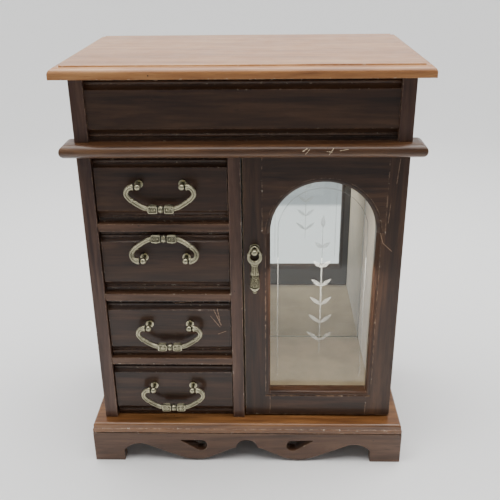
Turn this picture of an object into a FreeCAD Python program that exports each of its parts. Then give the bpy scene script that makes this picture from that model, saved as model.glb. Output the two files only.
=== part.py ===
import FreeCAD, Part
import math
import os
import re
import Sketcher

# A table-top jewelry armoire: a bracket-foot plinth, a lower case with four
# drawers beside a glazed door, a lined tray on top of it and a hinged lid.
# X runs to the right, Y to the back, Z up. The origin is on the floor at the
# middle of the footprint. Everything is in millimetres.

SIZES = {
    # carcass
    "body_width": 260, "body_depth": 157.5, "side_thick": 11,
    "case_height": 249, "deck_thick": 10.5, "tray_height": 50, "lid_thick": 9.5,
    "back_thick": 8, "back_recess": 4.5, "partition_thick": 10,
    "rail_thick": 6.5, "rail_setback": 0.5, "rail_depth": 16, "runner_width": 9,
    "waist_overhang": 10.4, "waist_depth": 12.5, "waist_flat": 0.3,
    # plinth and base
    "plinth_height": 31, "plinth_thick": 10, "plinth_overhang": 10.8,
    "foot_width": 27.5, "foot_shoulder": 11.5, "back_foot_rise": 13,
    "arch_half": 9.9, "arch_foot": 15.3, "arch_radius": 10,
    "cusp_x": 14, "cusp_rise": 13.8, "lobe_start": 32, "lobe_end": 62.5,
    "lobe_rise": 5, "lobe_radius": 34, "haunch_inset": 23.8, "haunch_rise": 16.7,
    "haunch_radius": 18, "side_lobe_x": 30, "side_lobe_rise": 13, "side_lobe_radius": 14,
    "drop_centre": 42.3, "drop_radius": 5.8, "drop_tip": 61, "drop_top": 23.4,
    "corner_block": 16, "corner_block_lift": 2,
    "base_thick": 10, "base_overhang": 10.6, "base_step_height": 4.6,
    "base_step_inset": 0.8, "base_round": 2.3, "base_edge_round": 0.9,
    # drawers
    "drawer_bay_width": 107, "face_setback": 3, "drawer_gap": 0.7, "drawer_lift": 0.45,
    "front_thick": 11, "lip_back": 2.2, "lip_height": 3.4, "bead_width": 2.4,
    "cove_start": 6.2, "cove_end": 10, "cove_radius": 6,
    "drawer_side_thick": 5, "drawer_bottom_thick": 3, "drawer_side_height": 44,
    "drawer_back_clear": 6, "drawer_bottom_lift": 2,
    # bail pulls
    "post_spacing": 35, "post_rise": 5, "post_reach": 8.5, "post_radius": 1.3,
    "rosette_radius": 3.4, "rosette_thick": 1, "ball_radius": 2.75,
    "bail_spread": 9.5, "bail_radius": 1.4, "bail_drop": 18.5, "bail_elbow": 4.6,
    "bail_shoulder_inset": 1.5, "bail_shoulder_drop": 3.5,
    "bail_pin_radius": 0.7, "bail_pin_length": 1.6, "pin_play": 0.06, "bail_end_gap": 0.35,
    "pin_hole_spare": 0.4,
    "grip_half": 13, "grip_radius": 3.1, "grip_end_radius": 2.3, "grip_end_taper": 2,
    "grip_bead_radius": 3.5, "grip_bead_half": 2, "grip_bead_slope": 1,
    "raised_angle": 194,
    # door
    "door_gap": 1.5, "door_bottom_gap": 2, "door_top_gap": 1, "door_thick": 13,
    "door_back_gap": 0.8, "stile_width": 18, "top_rail": 18.6, "bottom_rail": 20.2,
    "sticking_width": 4, "sticking_quirk": 0.9, "sticking_round": 2.8, "shoulder_inset": 2.7,
    "glass_lip": 9.8, "glass_thick": 2, "glass_lap": 4, "glass_play": 0.3, "bead_face": 3.4,
    "pivot_edge": 4.5, "pivot_back": 6, "pivot_round": 4.4, "pivot_radius": 1.5,
    "pivot_grip": 8, "pivot_reach": 3.5, "pivot_play": 0.06, "bush_radius": 2.1, "bush_length": 4,
    "pull_x": 9, "pull_rise": 167, "pull_post_reach": 8.5, "pull_ring_radius": 5.2,
    "pull_wire": 1, "pull_neck": 2.6, "pull_belly": 4.3, "pull_length": 42.5,
    "pull_play": 0.1, "pull_hang": 2.7, "pull_rosette_radius": 4.2, "pull_wire_round": 0.9,
    "pull_neck_length": 5, "pull_belly_rise": 8, "pull_belly_radius": 5.3, "pull_foot_rise": 2.4,
    "pull_bead_rise": 1.8, "pull_bead_half": 1.2,
    "catch_width": 12, "catch_depth": 8, "catch_height": 8, "catch_gap": 0.4,
    "strike_thick": 0.6, "strike_width": 8, "strike_height": 5, "strike_rise": 1,
    # compartment
    "mirror_thick": 3, "lining_thick": 1.2, "hook_rail_depth": 10, "hook_rail_height": 9,
    "hook_rail_back": 36, "hook_bend": 3.6, "hook_wire": 0.9, "hook_stem": 5, "hook_sweep": 230,
    # tray
    "tray_setback": 2, "tray_wall": 10, "tray_lining_thick": 1.5, "tray_lining_drop": 3,
    "divider_thick": 3, "divider_height": 28, "roll_bay": 77, "roll_height": 21,
    "roll_gap": 0.6, "roll_play": 0.5, "roll_lift": 0.2,
    # lid
    "lid_overhang": 11.5, "ovolo_top": 8.3, "ovolo_radius": 4.8, "lid_step_inset": 7.2,
    "lid_step_round": 0.9, "lid_mirror_side_gap": 14, "lid_mirror_end_gap": 5.75,
    "lid_frame_width": 10, "lid_frame_height": 5,
    # lid hinges
    "hinge_spacing": 170, "leaf_length": 30, "leaf_width": 9, "leaf_thick": 1,
    "leaf_gap": 0.12, "knuckle_radius": 1.8, "knuckle_play": 0.25, "hinge_pin_radius": 0.8,
    "hinge_pin_play": 0.06, "mortise_play": 0.1, "mortise_lap": 0.5, "leaf_root": 1.4,
    "screw_radius": 0.9, "screw_head": 1.6, "screw_length": 6, "screw_spacing": 16,
    "leaf_screw_line": 5.5,
    # how far a cut runs out past the material it removes
    "overrun": 1,
}

DRAWER_COUNT = 4
RAISED_BAIL = 2     # this drawer's bail is folded up against the front
ROLL_COUNT = 7
HOOK_COUNT = 4
LEVEL_TOLERANCE = 1e-4

# Places that several pieces share, worked out from the sizes above.
PLACES = {
    "front_y": "-body_depth / 2",
    "case_bottom": "plinth_height + base_thick",
    "case_top": "case_bottom + case_height",
    "tray_bottom": "case_top + deck_thick",
    "lid_bottom": "tray_bottom + tray_height",
    "side_inner": "body_width / 2 - side_thick",
    "back_front_y": "body_depth / 2 - back_recess - back_thick",
    "partition_x": "drawer_bay_width - side_inner",
    "compartment_x": "partition_x + partition_thick",
    "bay_height": "(case_height - 3 * rail_thick) / 4",
    "front_height": "bay_height - 2 * drawer_lift",
    "front_width": "drawer_bay_width - 2 * drawer_gap",
    "face_y": "front_y + face_setback",
    "pull_axis_x": "drawer_bay_width / 2 - side_inner",
    "bail_half_width": "post_spacing / 2 + bail_spread",
    "door_x": "compartment_x + door_gap",
    "door_z": "case_bottom + door_bottom_gap",
    "door_width": "body_width / 2 - door_x",
    "door_height": "case_height - door_bottom_gap - door_top_gap",
    "arch_out": "door_width / 2 - stile_width",
    "spring_z": "door_height - top_rail - arch_out",
    "pivot_x": "body_width / 2 - pivot_edge",
    "pivot_y": "face_y + door_thick - pivot_back",
    "mirror_y": "back_front_y - mirror_thick",
    "tray_in_front": "front_y + tray_setback + tray_wall",
    "tray_in_back": "body_depth / 2 - tray_wall",
    "tray_in_depth": "tray_in_back - tray_in_front",
    "lid_mirror_width": "2 * (side_inner - lid_mirror_side_gap - lid_frame_width)",
    "lid_mirror_depth": "tray_in_depth - 2 * (lid_mirror_end_gap + lid_frame_width)",
    "hinge_y": "body_depth / 2 + knuckle_radius",
    "half_lid_x": "body_width / 2 + lid_overhang",
    "half_lid_y": "body_depth / 2 + lid_overhang",
    "half_base_x": "body_width / 2 + base_overhang",
    "half_base_y": "body_depth / 2 + base_overhang",
    "half_plinth_x": "body_width / 2 + plinth_overhang",
    "half_plinth_y": "body_depth / 2 + plinth_overhang",
    "drawer_box_y": "face_y + front_thick",
    "drawer_box_depth": "back_front_y - drawer_back_clear - drawer_box_y",
    "drop_run": "drop_tip - drop_centre",
    "drop_square": "drop_run^2 + drop_radius^2",
}

doc = FreeCAD.newDocument("jewelry_armoire")
sheet = doc.addObject("Spreadsheet::Sheet", "Sizes")
for row, (size_name, size) in enumerate(SIZES.items(), start=1):
    sheet.set(f"A{row}", size_name)
    sheet.set(f"B{row}", str(size))
    sheet.setAlias(f"B{row}", size_name)
doc.recompute()

subparts = []


def expand(text):
    """Write a formula of size and place names as a spreadsheet expression."""
    def swap(match):
        name = match.group(0)
        if name in PLACES:
            return "(" + expand(PLACES[name]) + ")"
        return "Sizes." + name if name in SIZES else name
    return re.sub(r"[a-z][a-z_0-9]*", swap, text)


def number(text):
    """The present value of a formula."""
    return float(sheet.evalExpression(expand(text)))


def bind(thing, **formulas):
    for name, text in formulas.items():
        thing.setExpression(name, expand(text))
    return thing


def place(thing, x="0", y="0", z="0"):
    for axis, text in (("x", x), ("y", y), ("z", z)):
        thing.setExpression(f"Placement.Base.{axis}", expand(text))
    return thing


def keep(thing, label):
    """Mark a finished sub-part; its label names its file."""
    thing.Label = label
    subparts.append(thing)
    return thing


def board(name, x, y, z, length, depth, height):
    box = bind(doc.addObject("Part::Box", name), Length=length, Width=depth, Height=height)
    return place(box, x, y, z)


def group(label, pieces):
    """Several separate solids that share one node."""
    compound = doc.addObject("Part::Compound", label)
    compound.Links = pieces
    return keep(compound, label)


def new_body(name, x="0", y="0", z="0"):
    return place(doc.addObject("PartDesign::Body", name), x, y, z)


def new_sketch(body, name, plane, offset="0", rise="0"):
    """A sketch on one of the body's own origin planes, moved along its normal."""
    sketch = body.newObject("Sketcher::SketchObject", name)
    support = [feature for feature in body.Origin.OriginFeatures if feature.Role == plane][0]
    sketch.AttachmentSupport = [(support, "")]
    sketch.MapMode = "FlatFace"
    sketch.setExpression("AttachmentOffset.Base.z", expand(offset))
    sketch.setExpression("AttachmentOffset.Base.y", expand(rise))
    return sketch


def fix_point(sketch, edge, end, x=None, y=None):
    """Tie one point of a sketch to formulas for its two coordinates."""
    for kind, text in (("DistanceX", x), ("DistanceY", y)):
        if text is None:
            continue
        index = sketch.addConstraint(Sketcher.Constraint(kind, -1, 1, edge, end, number(text)))
        sketch.renameConstraint(index, f"{kind}{index}")
        sketch.setExpression(f"Constraints.{kind}{index}", expand(text))


def fix_radius(sketch, edge, text):
    index = sketch.addConstraint(Sketcher.Constraint("Radius", edge, number(text)))
    sketch.renameConstraint(index, f"Radius{index}")
    sketch.setExpression(f"Constraints.Radius{index}", expand(text))


def add_arc(sketch, start, end, radius, turn):
    """Add the arc from start to end; turn is +1 with the centre on the left."""
    chord = end - start
    reach = radius if radius else chord.Length / 2
    height = math.sqrt(max(reach ** 2 - chord.Length ** 2 / 4, 0))
    left = FreeCAD.Vector(-chord.y, chord.x, 0) / chord.Length
    centre = start + chord / 2 + left * height * turn
    first, last = (start, end) if turn > 0 else (end, start)
    angles = [math.atan2(point.y - centre.y, point.x - centre.x) for point in (first, last)]
    circle = Part.Circle(centre, FreeCAD.Vector(0, 0, 1), reach)
    return sketch.addGeometry(Part.ArcOfCircle(circle, *angles), False)


def add_path(sketch, points, closed=True):
    """Lines and arcs through points. A point is (x, y) at the end of a line, or
    (x, y, radius, turn) at the end of an arc; radius None makes it a half circle."""
    places = [FreeCAD.Vector(number(point[0]), number(point[1]), 0) for point in points]
    edges = []
    for i in range(0 if closed else 1, len(points)):
        start, end, point = places[i - 1], places[i], points[i]
        if len(point) == 2:
            edge = sketch.addGeometry(Part.LineSegment(start, end), False)
            edges.append((edge, 1, 2))
            fix_point(sketch, edge, 2, point[0], point[1])
            continue
        radius, turn = point[2], point[3]
        edge = add_arc(sketch, start, end, number(radius) if radius else None, turn)
        edges.append((edge, 1, 2) if turn > 0 else (edge, 2, 1))
        if radius:
            fix_radius(sketch, edge, radius)
            fix_point(sketch, edge, edges[-1][2], point[0], point[1])
            continue
        before = points[i - 1]
        middle = [f"(({before[axis]}) + ({point[axis]})) / 2" for axis in (0, 1)]
        fix_point(sketch, edge, 3, *middle)
        if abs(end.x - start.x) > abs(end.y - start.y):
            fix_point(sketch, edge, edges[-1][2], y=point[1])
        else:
            fix_point(sketch, edge, edges[-1][2], x=point[0])
    if not closed:
        fix_point(sketch, edges[0][0], edges[0][1], points[0][0], points[0][1])
    for i in range(0 if closed else 1, len(edges)):
        last, this = edges[i - 1], edges[i]
        sketch.addConstraint(Sketcher.Constraint("Coincident", last[0], last[2], this[0], this[1]))


def add_circle(sketch, x, y, radius):
    circle = Part.Circle(FreeCAD.Vector(number(x), number(y), 0), FreeCAD.Vector(0, 0, 1), number(radius))
    edge = sketch.addGeometry(circle, False)
    fix_point(sketch, edge, 3, x, y)
    fix_radius(sketch, edge, radius)


def rectangle(x0, y0, x1, y1):
    return [(x0, y0), (x1, y0), (x1, y1), (x0, y1)]


def pad(body, sketch, length, reverse=False):
    feature = body.newObject("PartDesign::Pad", "Pad")
    feature.Profile = sketch
    feature.Reversed = reverse
    bind(feature, Length=length)
    doc.recompute()
    return feature


def pocket(body, sketch, depth, reverse=False):
    before = body.Shape.Volume
    feature = body.newObject("PartDesign::Pocket", "Pocket")
    feature.Profile = sketch
    feature.Reversed = reverse
    bind(feature, Length=depth)
    doc.recompute()
    if body.Shape.Volume >= before:
        raise ValueError(f"{body.Label}: {feature.Label} cuts nothing")
    return feature


def revolve(body, sketch, axis):
    feature = body.newObject("PartDesign::Revolution", "Revolution")
    feature.Profile = sketch
    feature.ReferenceAxis = (sketch, [axis])
    feature.Angle = 360
    doc.recompute()
    return feature


def round_edges(body, radius, wanted, kind="Fillet"):
    """Round, or chamfer, the edges of the body for which wanted(edge box) is true."""
    base = body.Tip
    names = [f"Edge{i}" for i, edge in enumerate(base.Shape.Edges, start=1) if wanted(edge.BoundBox)]
    feature = body.newObject(f"PartDesign::{kind}", kind)
    feature.Base = (base, names)
    bind(feature, **{"Radius" if kind == "Fillet" else "Size": radius})
    doc.recompute()
    return feature


def level(box, axis, value):
    """True where an edge lies wholly at one value of an axis."""
    low, high = getattr(box, axis + "Min"), getattr(box, axis + "Max")
    return max(abs(low - value), abs(high - value)) < LEVEL_TOLERANCE


# ---- plinth and base ----

def mirrored(points):
    """The same path on the other side of x = 0, walked the other way."""
    path = []
    for i in range(len(points) - 1, -1, -1):
        x = points[i][0]
        x = x[1:] if x.startswith("-") else "-" + x
        arc = points[i + 1][2:] if i + 1 < len(points) else ()
        path.append((x, points[i][1], *arc))
    return path


def plinth_outline(half, lobes):
    """Outline of a bracket-foot board: feet, haunches, lobes and a centre arch."""
    inner = f"({half} - foot_width)"
    run = f"({half} - foot_width - haunch_inset)"
    left = [(f"-{inner}", "0"), (f"-{inner}", "foot_shoulder"),
            (f"-{run}", "haunch_rise", "haunch_radius", -1), *lobes, ("-arch_half", "arch_foot")]
    right = mirrored(left)
    right[0] = right[0] + ("arch_radius", -1)
    ends = [(half, "0"), (half, "plinth_height"), (f"-{half}", "plinth_height"), (f"-{half}", "0")]
    return left + right + ends


def drop_outline(sign):
    """A pierced drop: round at the inner end, tapering to a tip near the foot."""
    side = "" if sign > 0 else "-"
    tangent = f"{side}(drop_tip + drop_run - 2 * drop_run^3 / drop_square)"
    return [(f"{side}drop_tip", "drop_top"),
            (tangent, "drop_top - 2 * drop_run^2 * drop_radius / drop_square"),
            (f"{side}(drop_centre - drop_radius)", "drop_top - drop_radius", "drop_radius", -sign),
            (f"{side}drop_centre", "drop_top", "drop_radius", -sign)]


def make_plinth():
    front = new_body("PlinthFront", y="-half_plinth_y")
    lobes = [("-lobe_end", "lobe_rise"), ("-lobe_start", "lobe_rise", "lobe_radius", 1),
             ("-cusp_x", "cusp_rise")]
    outline = new_sketch(front, "Outline", "XZ_Plane")
    add_path(outline, plinth_outline("half_plinth_x", lobes))
    for sign in (-1, 1):
        add_path(outline, drop_outline(sign))
    pad(front, outline, "plinth_thick", reverse=True)
    keep(front, "plinth_front")

    back = new_body("PlinthBack", y="half_plinth_y - plinth_thick")
    outline = new_sketch(back, "Outline", "XZ_Plane")
    inner = "(half_plinth_x - foot_width)"
    add_path(outline, [(f"-{inner}", "0"), (f"-{inner}", "back_foot_rise"), (inner, "back_foot_rise"),
                       (inner, "0"), ("half_plinth_x", "0"), ("half_plinth_x", "plinth_height"),
                       ("-half_plinth_x", "plinth_height"), ("-half_plinth_x", "0")])
    pad(back, outline, "plinth_thick", reverse=True)
    keep(back, "plinth_back")

    # the side boards fit between the front and the back, and their feet run on into those
    half = "(half_plinth_y - plinth_thick)"
    foot = "(half_plinth_y - foot_width)"
    for name, x in (("left", "-half_plinth_x"), ("right", "half_plinth_x - plinth_thick")):
        side = new_body(f"PlinthSide{name}", x=x)
        outline = new_sketch(side, "Outline", "YZ_Plane")
        left = [(f"-{foot}", "0"), (f"-{foot}", "foot_shoulder"),
                (f"-({foot} - haunch_inset)", "haunch_rise", "haunch_radius", -1),
                ("-side_lobe_x", "side_lobe_rise"),
                ("-arch_half", "arch_foot", "side_lobe_radius", 1)]
        right = mirrored(left)
        right[0] = right[0] + ("arch_radius", -1)
        ends = [(half, "0"), (half, "plinth_height"), (f"-{half}", "plinth_height"), (f"-{half}", "0")]
        add_path(outline, left + right + ends)
        pad(side, outline, "plinth_thick")
        keep(side, f"plinth_side_{name}")

    blocks = []
    for x_sign in (-1, 1):
        for y_sign in (-1, 1):
            block = new_body(f"CornerBlock{len(blocks) + 1}",
                             x=f"{x_sign} * (half_plinth_x - plinth_thick)",
                             y=f"{y_sign} * (half_plinth_y - plinth_thick)", z="corner_block_lift")
            outline = new_sketch(block, "Outline", "XY_Plane")
            corner = [("0", "0"), (f"{-x_sign} * corner_block", "0"), ("0", f"{-y_sign} * corner_block")]
            add_path(outline, corner)
            pad(block, outline, "plinth_height - corner_block_lift")
            blocks.append(block)
    group("plinth_corner_blocks", blocks)


def make_base_board():
    base = new_body("BaseBoard", z="plinth_height")
    lower = new_sketch(base, "LowerStep", "XY_Plane")
    add_path(lower, rectangle("-half_base_x", "-half_base_y", "half_base_x", "half_base_y"))
    pad(base, lower, "base_step_height")
    step = number("base_step_height")
    round_edges(base, "base_edge_round", lambda box: level(box, "Z", step))
    round_edges(base, "base_edge_round", lambda box: level(box, "Z", 0), kind="Chamfer")
    upper = new_sketch(base, "UpperStep", "XY_Plane", offset="base_edge_round")
    x, y = "(half_base_x - base_step_inset)", "(half_base_y - base_step_inset)"
    add_path(upper, rectangle(f"-{x}", f"-{y}", x, y))
    pad(base, upper, "base_thick - base_edge_round")
    top = number("base_thick")
    round_edges(base, "base_round", lambda box: level(box, "Z", top))
    bush = new_sketch(base, "BushHole", "XY_Plane", offset="base_thick")
    add_circle(bush, "pivot_x", "pivot_y", "bush_radius")
    pocket(base, bush, "bush_length")
    keep(base, "base_board")


# ---- lower case ----

def make_case():
    left = board("SideLeft", "-body_width / 2", "front_y", "case_bottom",
                 "side_thick", "body_depth", "case_height")
    keep(left, "side_panel_left")
    behind_door = "face_y + door_thick + door_back_gap"
    right = board("SideRight", "side_inner", behind_door, "case_bottom",
                  "side_thick", f"body_depth / 2 - ({behind_door})", "case_height")
    keep(right, "side_panel_right")
    partition = board("Partition", "partition_x", "front_y + rail_setback", "case_bottom",
                      "partition_thick", "back_front_y - front_y - rail_setback", "case_height")
    keep(partition, "centre_partition")
    back = board("Back", "-side_inner", "back_front_y", "case_bottom",
                 "2 * side_inner", "back_thick", "case_height")
    keep(back, "back_panel")
    deck = board("Deck", "-body_width / 2", "front_y + waist_depth", "case_top",
                 "body_width", "body_depth - waist_depth", "deck_thick")
    keep(deck, "deck_board")

    rails = []
    for i in range(1, DRAWER_COUNT):
        z = f"case_top - {i} * bay_height - {i} * rail_thick"
        rails.append(board(f"Rail{i}", "-side_inner", "front_y + rail_setback", z,
                           "drawer_bay_width", "rail_depth", "rail_thick"))
        for name, x in (("Left", "-side_inner"), ("Right", "partition_x - runner_width")):
            rails.append(board(f"Runner{name}{i}", x, "front_y + rail_setback + rail_depth", z,
                               "runner_width", "back_front_y - front_y - rail_setback - rail_depth",
                               "rail_thick"))
    group("drawer_rails", rails)


def make_waist_moulding():
    """The half-round nosing in front of the deck; its ends stand out past the sides."""
    waist = new_body("Waist", y="front_y", z="case_top")
    sketch = new_sketch(waist, "Outline", "XY_Plane")
    half = "(body_width / 2 + waist_overhang)"
    add_path(sketch, rectangle(f"-{half}", "-waist_overhang", half, "waist_depth"))
    pad(waist, sketch, "deck_thick")
    back, top = number("waist_depth"), number("deck_thick")

    def is_rounded(box):
        return (level(box, "Z", 0) or level(box, "Z", top)) and not level(box, "Y", back)

    round_edges(waist, "(deck_thick - waist_flat) / 2", is_rounded)
    bush = new_sketch(waist, "BushHole", "XY_Plane")
    add_circle(bush, "pivot_x", "pivot_y - front_y", "bush_radius")
    pocket(waist, bush, "bush_length", reverse=True)
    keep(waist, "waist_moulding")


# ---- moulded drawer and tray fronts ----

def moulded_front(name, x, y, z, width, height, thick, label):
    """A board whose raised field is framed above and below by a cove and a bead."""
    front = new_body(name, x, y, z)
    sketch = new_sketch(front, "Section", "YZ_Plane")
    profile = [(thick, height), (thick, "0"), ("lip_back", "0"), ("lip_back", "lip_height"),
               ("lip_back", "lip_height + bead_width", None, -1), ("lip_back", "cove_start"),
               ("0", "cove_end", "cove_radius", 1), ("0", f"{height} - cove_end"),
               ("lip_back", f"{height} - cove_start", "cove_radius", 1),
               ("lip_back", f"{height} - lip_height - bead_width"),
               ("lip_back", f"{height} - lip_height", None, -1), ("lip_back", height)]
    add_path(sketch, profile)
    pad(front, sketch, width)
    return keep(front, label)


# ---- drawers and their bail pulls ----

def revolved_about_y(name, profile, x, y, z):
    """Turn a closed profile of (radius, distance along Y) points about Y."""
    body = new_body(name, x, y, z)
    sketch = new_sketch(body, "Profile", "XY_Plane")
    add_path(sketch, profile)
    revolve(body, sketch, "V_Axis")
    return body


def pull_post(name, x, y, z, outer_side):
    """Rosette, stem and ball; the ball is drilled from its outer side for the bail's pin."""
    ball_top = "(ball_radius^2 - post_radius^2)^0.5"
    profile = [("0", "0"), ("0", "-post_reach - ball_radius"),
               ("ball_radius", "-post_reach", "ball_radius", 1),
               ("post_radius", f"-post_reach + {ball_top}", "ball_radius", 1),
               ("post_radius", "-rosette_thick"), ("rosette_radius", "-rosette_thick"),
               ("rosette_radius", "0")]
    post = revolved_about_y(name, profile, x, y, z)
    hole = new_sketch(post, "PinHole", "YZ_Plane", offset=f"{outer_side} * ball_radius")
    add_circle(hole, "-post_reach", "0", "bail_pin_radius + pin_play")
    pocket(post, hole, "bail_pin_length + pin_hole_spare", reverse=outer_side < 0)
    return post


def bail(label, z, raised):
    """A bail between two posts: pins, bowed arms and a turned grip at the bottom."""
    body = new_body(label.title().replace("_", ""), "pull_axis_x", "face_y - post_reach", z)
    start = "post_spacing / 2 + ball_radius + bail_end_gap"
    path = new_sketch(body, "Path", "XZ_Plane")
    half = [(start, "0"), ("bail_half_width - bail_elbow", "0"),
            ("bail_half_width", "-bail_elbow", "bail_elbow", -1),
            ("bail_half_width - bail_shoulder_inset", "-bail_elbow - bail_shoulder_drop"),
            ("grip_half", "-bail_drop")]
    other = [(f"-({x})", rise) for x, rise, *arc in reversed(half)]
    other[3] = other[3] + ("bail_elbow", -1)
    add_path(path, half + other, closed=False)
    section = new_sketch(body, "Section", "YZ_Plane", offset=start)
    add_circle(section, "0", "0", "bail_radius")
    pipe = body.newObject("PartDesign::AdditivePipe", "Arms")
    pipe.Profile = section
    pipe.Spine = path
    pipe.Transition = "Round corner"
    doc.recompute()

    grip = new_sketch(body, "Grip", "XZ_Plane", rise="-bail_drop")
    profile = [("grip_bead_half", "grip_bead_radius"),
               ("grip_bead_half + grip_bead_slope", "grip_radius"),
               ("grip_half - grip_end_taper", "grip_radius"),
               ("grip_half", "grip_end_radius"), ("grip_half", "0")]
    add_path(grip, [(f"-({x})", rise) for x, rise in reversed(profile)] + profile)
    revolve(body, grip, "H_Axis")
    pins = new_sketch(body, "Pins", "XZ_Plane")
    tip = "post_spacing / 2 + ball_radius - bail_pin_length"
    add_path(pins, rectangle(tip, "0", f"{start} + overrun", "bail_pin_radius"))
    add_path(pins, rectangle(f"-({start} + overrun)", "0", f"-({tip})", "bail_pin_radius"))
    revolve(body, pins, "H_Axis")
    if raised:
        body.Placement.Rotation = FreeCAD.Rotation(FreeCAD.Vector(-1, 0, 0), number("raised_angle"))
    return keep(body, label)


def make_drawer(index):
    name = f"drawer_{index}"
    floor = f"(case_top - {index} * bay_height - {index - 1} * rail_thick)"
    x = "-side_inner + drawer_gap"
    moulded_front(f"Front{index}", x, "face_y", f"{floor} + drawer_lift",
                  "front_width", "front_height", "front_thick", f"{name}_front")

    z = f"{floor} + drawer_lift"
    inner = "drawer_side_thick"
    length, tall = "drawer_box_depth", "drawer_side_height"
    bottom_z = f"{z} + drawer_bottom_lift"
    above = f"{bottom_z} + drawer_bottom_thick"
    wall = f"{tall} - drawer_bottom_lift - drawer_bottom_thick"
    sides = [board(f"Box{index}{part}", *numbers) for part, numbers in {
        "Left": (x, "drawer_box_y", z, inner, length, tall),
        "Right": (f"{x} + front_width - {inner}", "drawer_box_y", z, inner, length, tall),
        "Back": (f"{x} + {inner}", f"drawer_box_y + {length} - {inner}", above,
                 f"front_width - 2 * {inner}", inner, wall),
        "Bottom": (f"{x} + {inner}", "drawer_box_y", bottom_z,
                   f"front_width - 2 * {inner}", length, "drawer_bottom_thick")}.items()]
    group(f"{name}_box", sides)

    pull_z = f"{floor} + bay_height / 2 + post_rise"
    posts = [pull_post(f"Post{index}{side}", f"pull_axis_x + {sign} * post_spacing / 2", "face_y",
                       pull_z, sign) for side, sign in (("Left", -1), ("Right", 1))]
    group(f"{name}_posts", posts)
    bail(f"{name}_bail", pull_z, index == RAISED_BAIL)


# ---- glazed door ----

def arch_outline(inset):
    """The door opening, moved inwards by inset: straight sides under a half circle."""
    x0, x1 = f"stile_width + ({inset})", f"door_width - stile_width - ({inset})"
    bottom = f"bottom_rail + ({inset})"
    return [(x0, bottom), (x1, bottom), (x1, "spring_z"), (x0, "spring_z", None, 1)]


def make_door_frame():
    """The whole frame as one blank, divided at its joints into four pieces."""
    blank = new_body("DoorBlank", "door_x", "face_y", "door_z")
    face = new_sketch(blank, "Face", "XZ_Plane")
    add_path(face, rectangle("0", "0", "door_width", "door_height"))
    pad(blank, face, "door_thick", reverse=True)
    width, thick = number("door_width"), number("door_thick")
    round_edges(blank, "pivot_round", lambda box: level(box, "X", width) and level(box, "Y", thick))
    sight = new_sketch(blank, "Sight", "XZ_Plane")
    add_path(sight, arch_outline("sticking_width"))
    pocket(blank, sight, "door_thick")
    quirk = new_sketch(blank, "Quirk", "XZ_Plane")
    add_path(quirk, arch_outline("0"))
    pocket(blank, quirk, "sticking_quirk")
    depth, margin = number("sticking_quirk"), number("stile_width + sticking_width / 2")
    round_edges(blank, "sticking_round", lambda box: level(box, "Y", depth)
                and box.XMin > margin and box.XMax < width - margin)
    rebate = new_sketch(blank, "Rebate", "XZ_Plane", offset="-door_thick")
    add_path(rebate, arch_outline("sticking_width - glass_lap"))
    pocket(blank, rebate, "door_thick - glass_lip", reverse=True)
    for name, offset, reverse in (("PinHoleBottom", "0", True), ("PinHoleTop", "door_height", False)):
        hole = new_sketch(blank, name, "XY_Plane", offset=offset)
        add_circle(hole, "pivot_x - door_x", "pivot_y - face_y", "pivot_radius")
        pocket(blank, hole, "pivot_grip", reverse=reverse)

    inner = "(stile_width + sticking_width)"
    shoulder = "(stile_width - shoulder_inset)"
    pieces = {
        "door_stile_left": [("0", "0", inner, "spring_z"),
                            ("0", "spring_z", shoulder, "door_height - spring_z")],
        "door_stile_right": [(f"door_width - {inner}", "0", inner, "spring_z"),
                             (f"door_width - {shoulder}", "spring_z", shoulder,
                              "door_height - spring_z")],
        "door_rail_bottom": [(inner, "0", f"door_width - 2 * {inner}", "spring_z")],
        "door_rail_top": [(shoulder, "spring_z", f"door_width - 2 * {shoulder}",
                           "door_height - spring_z")],
    }
    for label, parts in pieces.items():
        boxes = [board(f"{label}_cut{i}", f"door_x + {x}", "face_y", f"door_z + {z}",
                       wide, "door_thick", tall) for i, (x, z, wide, tall) in enumerate(parts)]
        tool = boxes[0]
        if len(boxes) > 1:
            tool = doc.addObject("Part::MultiFuse", f"{label}_cut")
            tool.Shapes = boxes
        piece = doc.addObject("Part::Common", label)
        piece.Base = blank
        piece.Tool = tool
        keep(piece, label)


def make_glazing():
    inset = "sticking_width - glass_lap + glass_play"
    glass = new_body("Glass", "door_x", "face_y + glass_lip", "door_z")
    sketch = new_sketch(glass, "Outline", "XZ_Plane")
    add_path(sketch, arch_outline(inset))
    pad(glass, sketch, "glass_thick", reverse=True)
    keep(glass, "door_glass")

    bead = new_body("GlassBead", "door_x", "face_y + glass_lip + glass_thick", "door_z")
    ring = new_sketch(bead, "Outline", "XZ_Plane")
    add_path(ring, arch_outline("sticking_width - glass_lap"))
    add_path(ring, arch_outline("sticking_width - glass_lap + bead_face"))
    pad(bead, ring, "door_thick - glass_lip - glass_thick", reverse=True)
    keep(bead, "door_glass_bead")


def cylinder(name, x, y, z, radius, height):
    rod = bind(doc.addObject("Part::Cylinder", name), Radius=radius, Height=height)
    return place(rod, x, y, z)


def make_door_pivots():
    pins, bushes = [], []
    length = "pivot_grip + pivot_reach"
    heights = {"Bottom": ("door_z - pivot_reach", "case_bottom - bush_length"),
               "Top": ("door_z + door_height - pivot_grip", "case_top")}
    for name, (pin_z, bush_z) in heights.items():
        pins.append(cylinder(f"PivotPin{name}", "pivot_x", "pivot_y", pin_z, "pivot_radius", length))
        bush = new_body(f"PivotBush{name}", "pivot_x", "pivot_y", bush_z)
        ring = new_sketch(bush, "Ring", "XY_Plane")
        add_circle(ring, "0", "0", "bush_radius")
        add_circle(ring, "0", "0", "pivot_radius + pivot_play")
        pad(bush, ring, "bush_length")
        bushes.append(bush)
    group("door_pivot_pins", pins)
    group("door_pivot_bushes", bushes)


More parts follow.
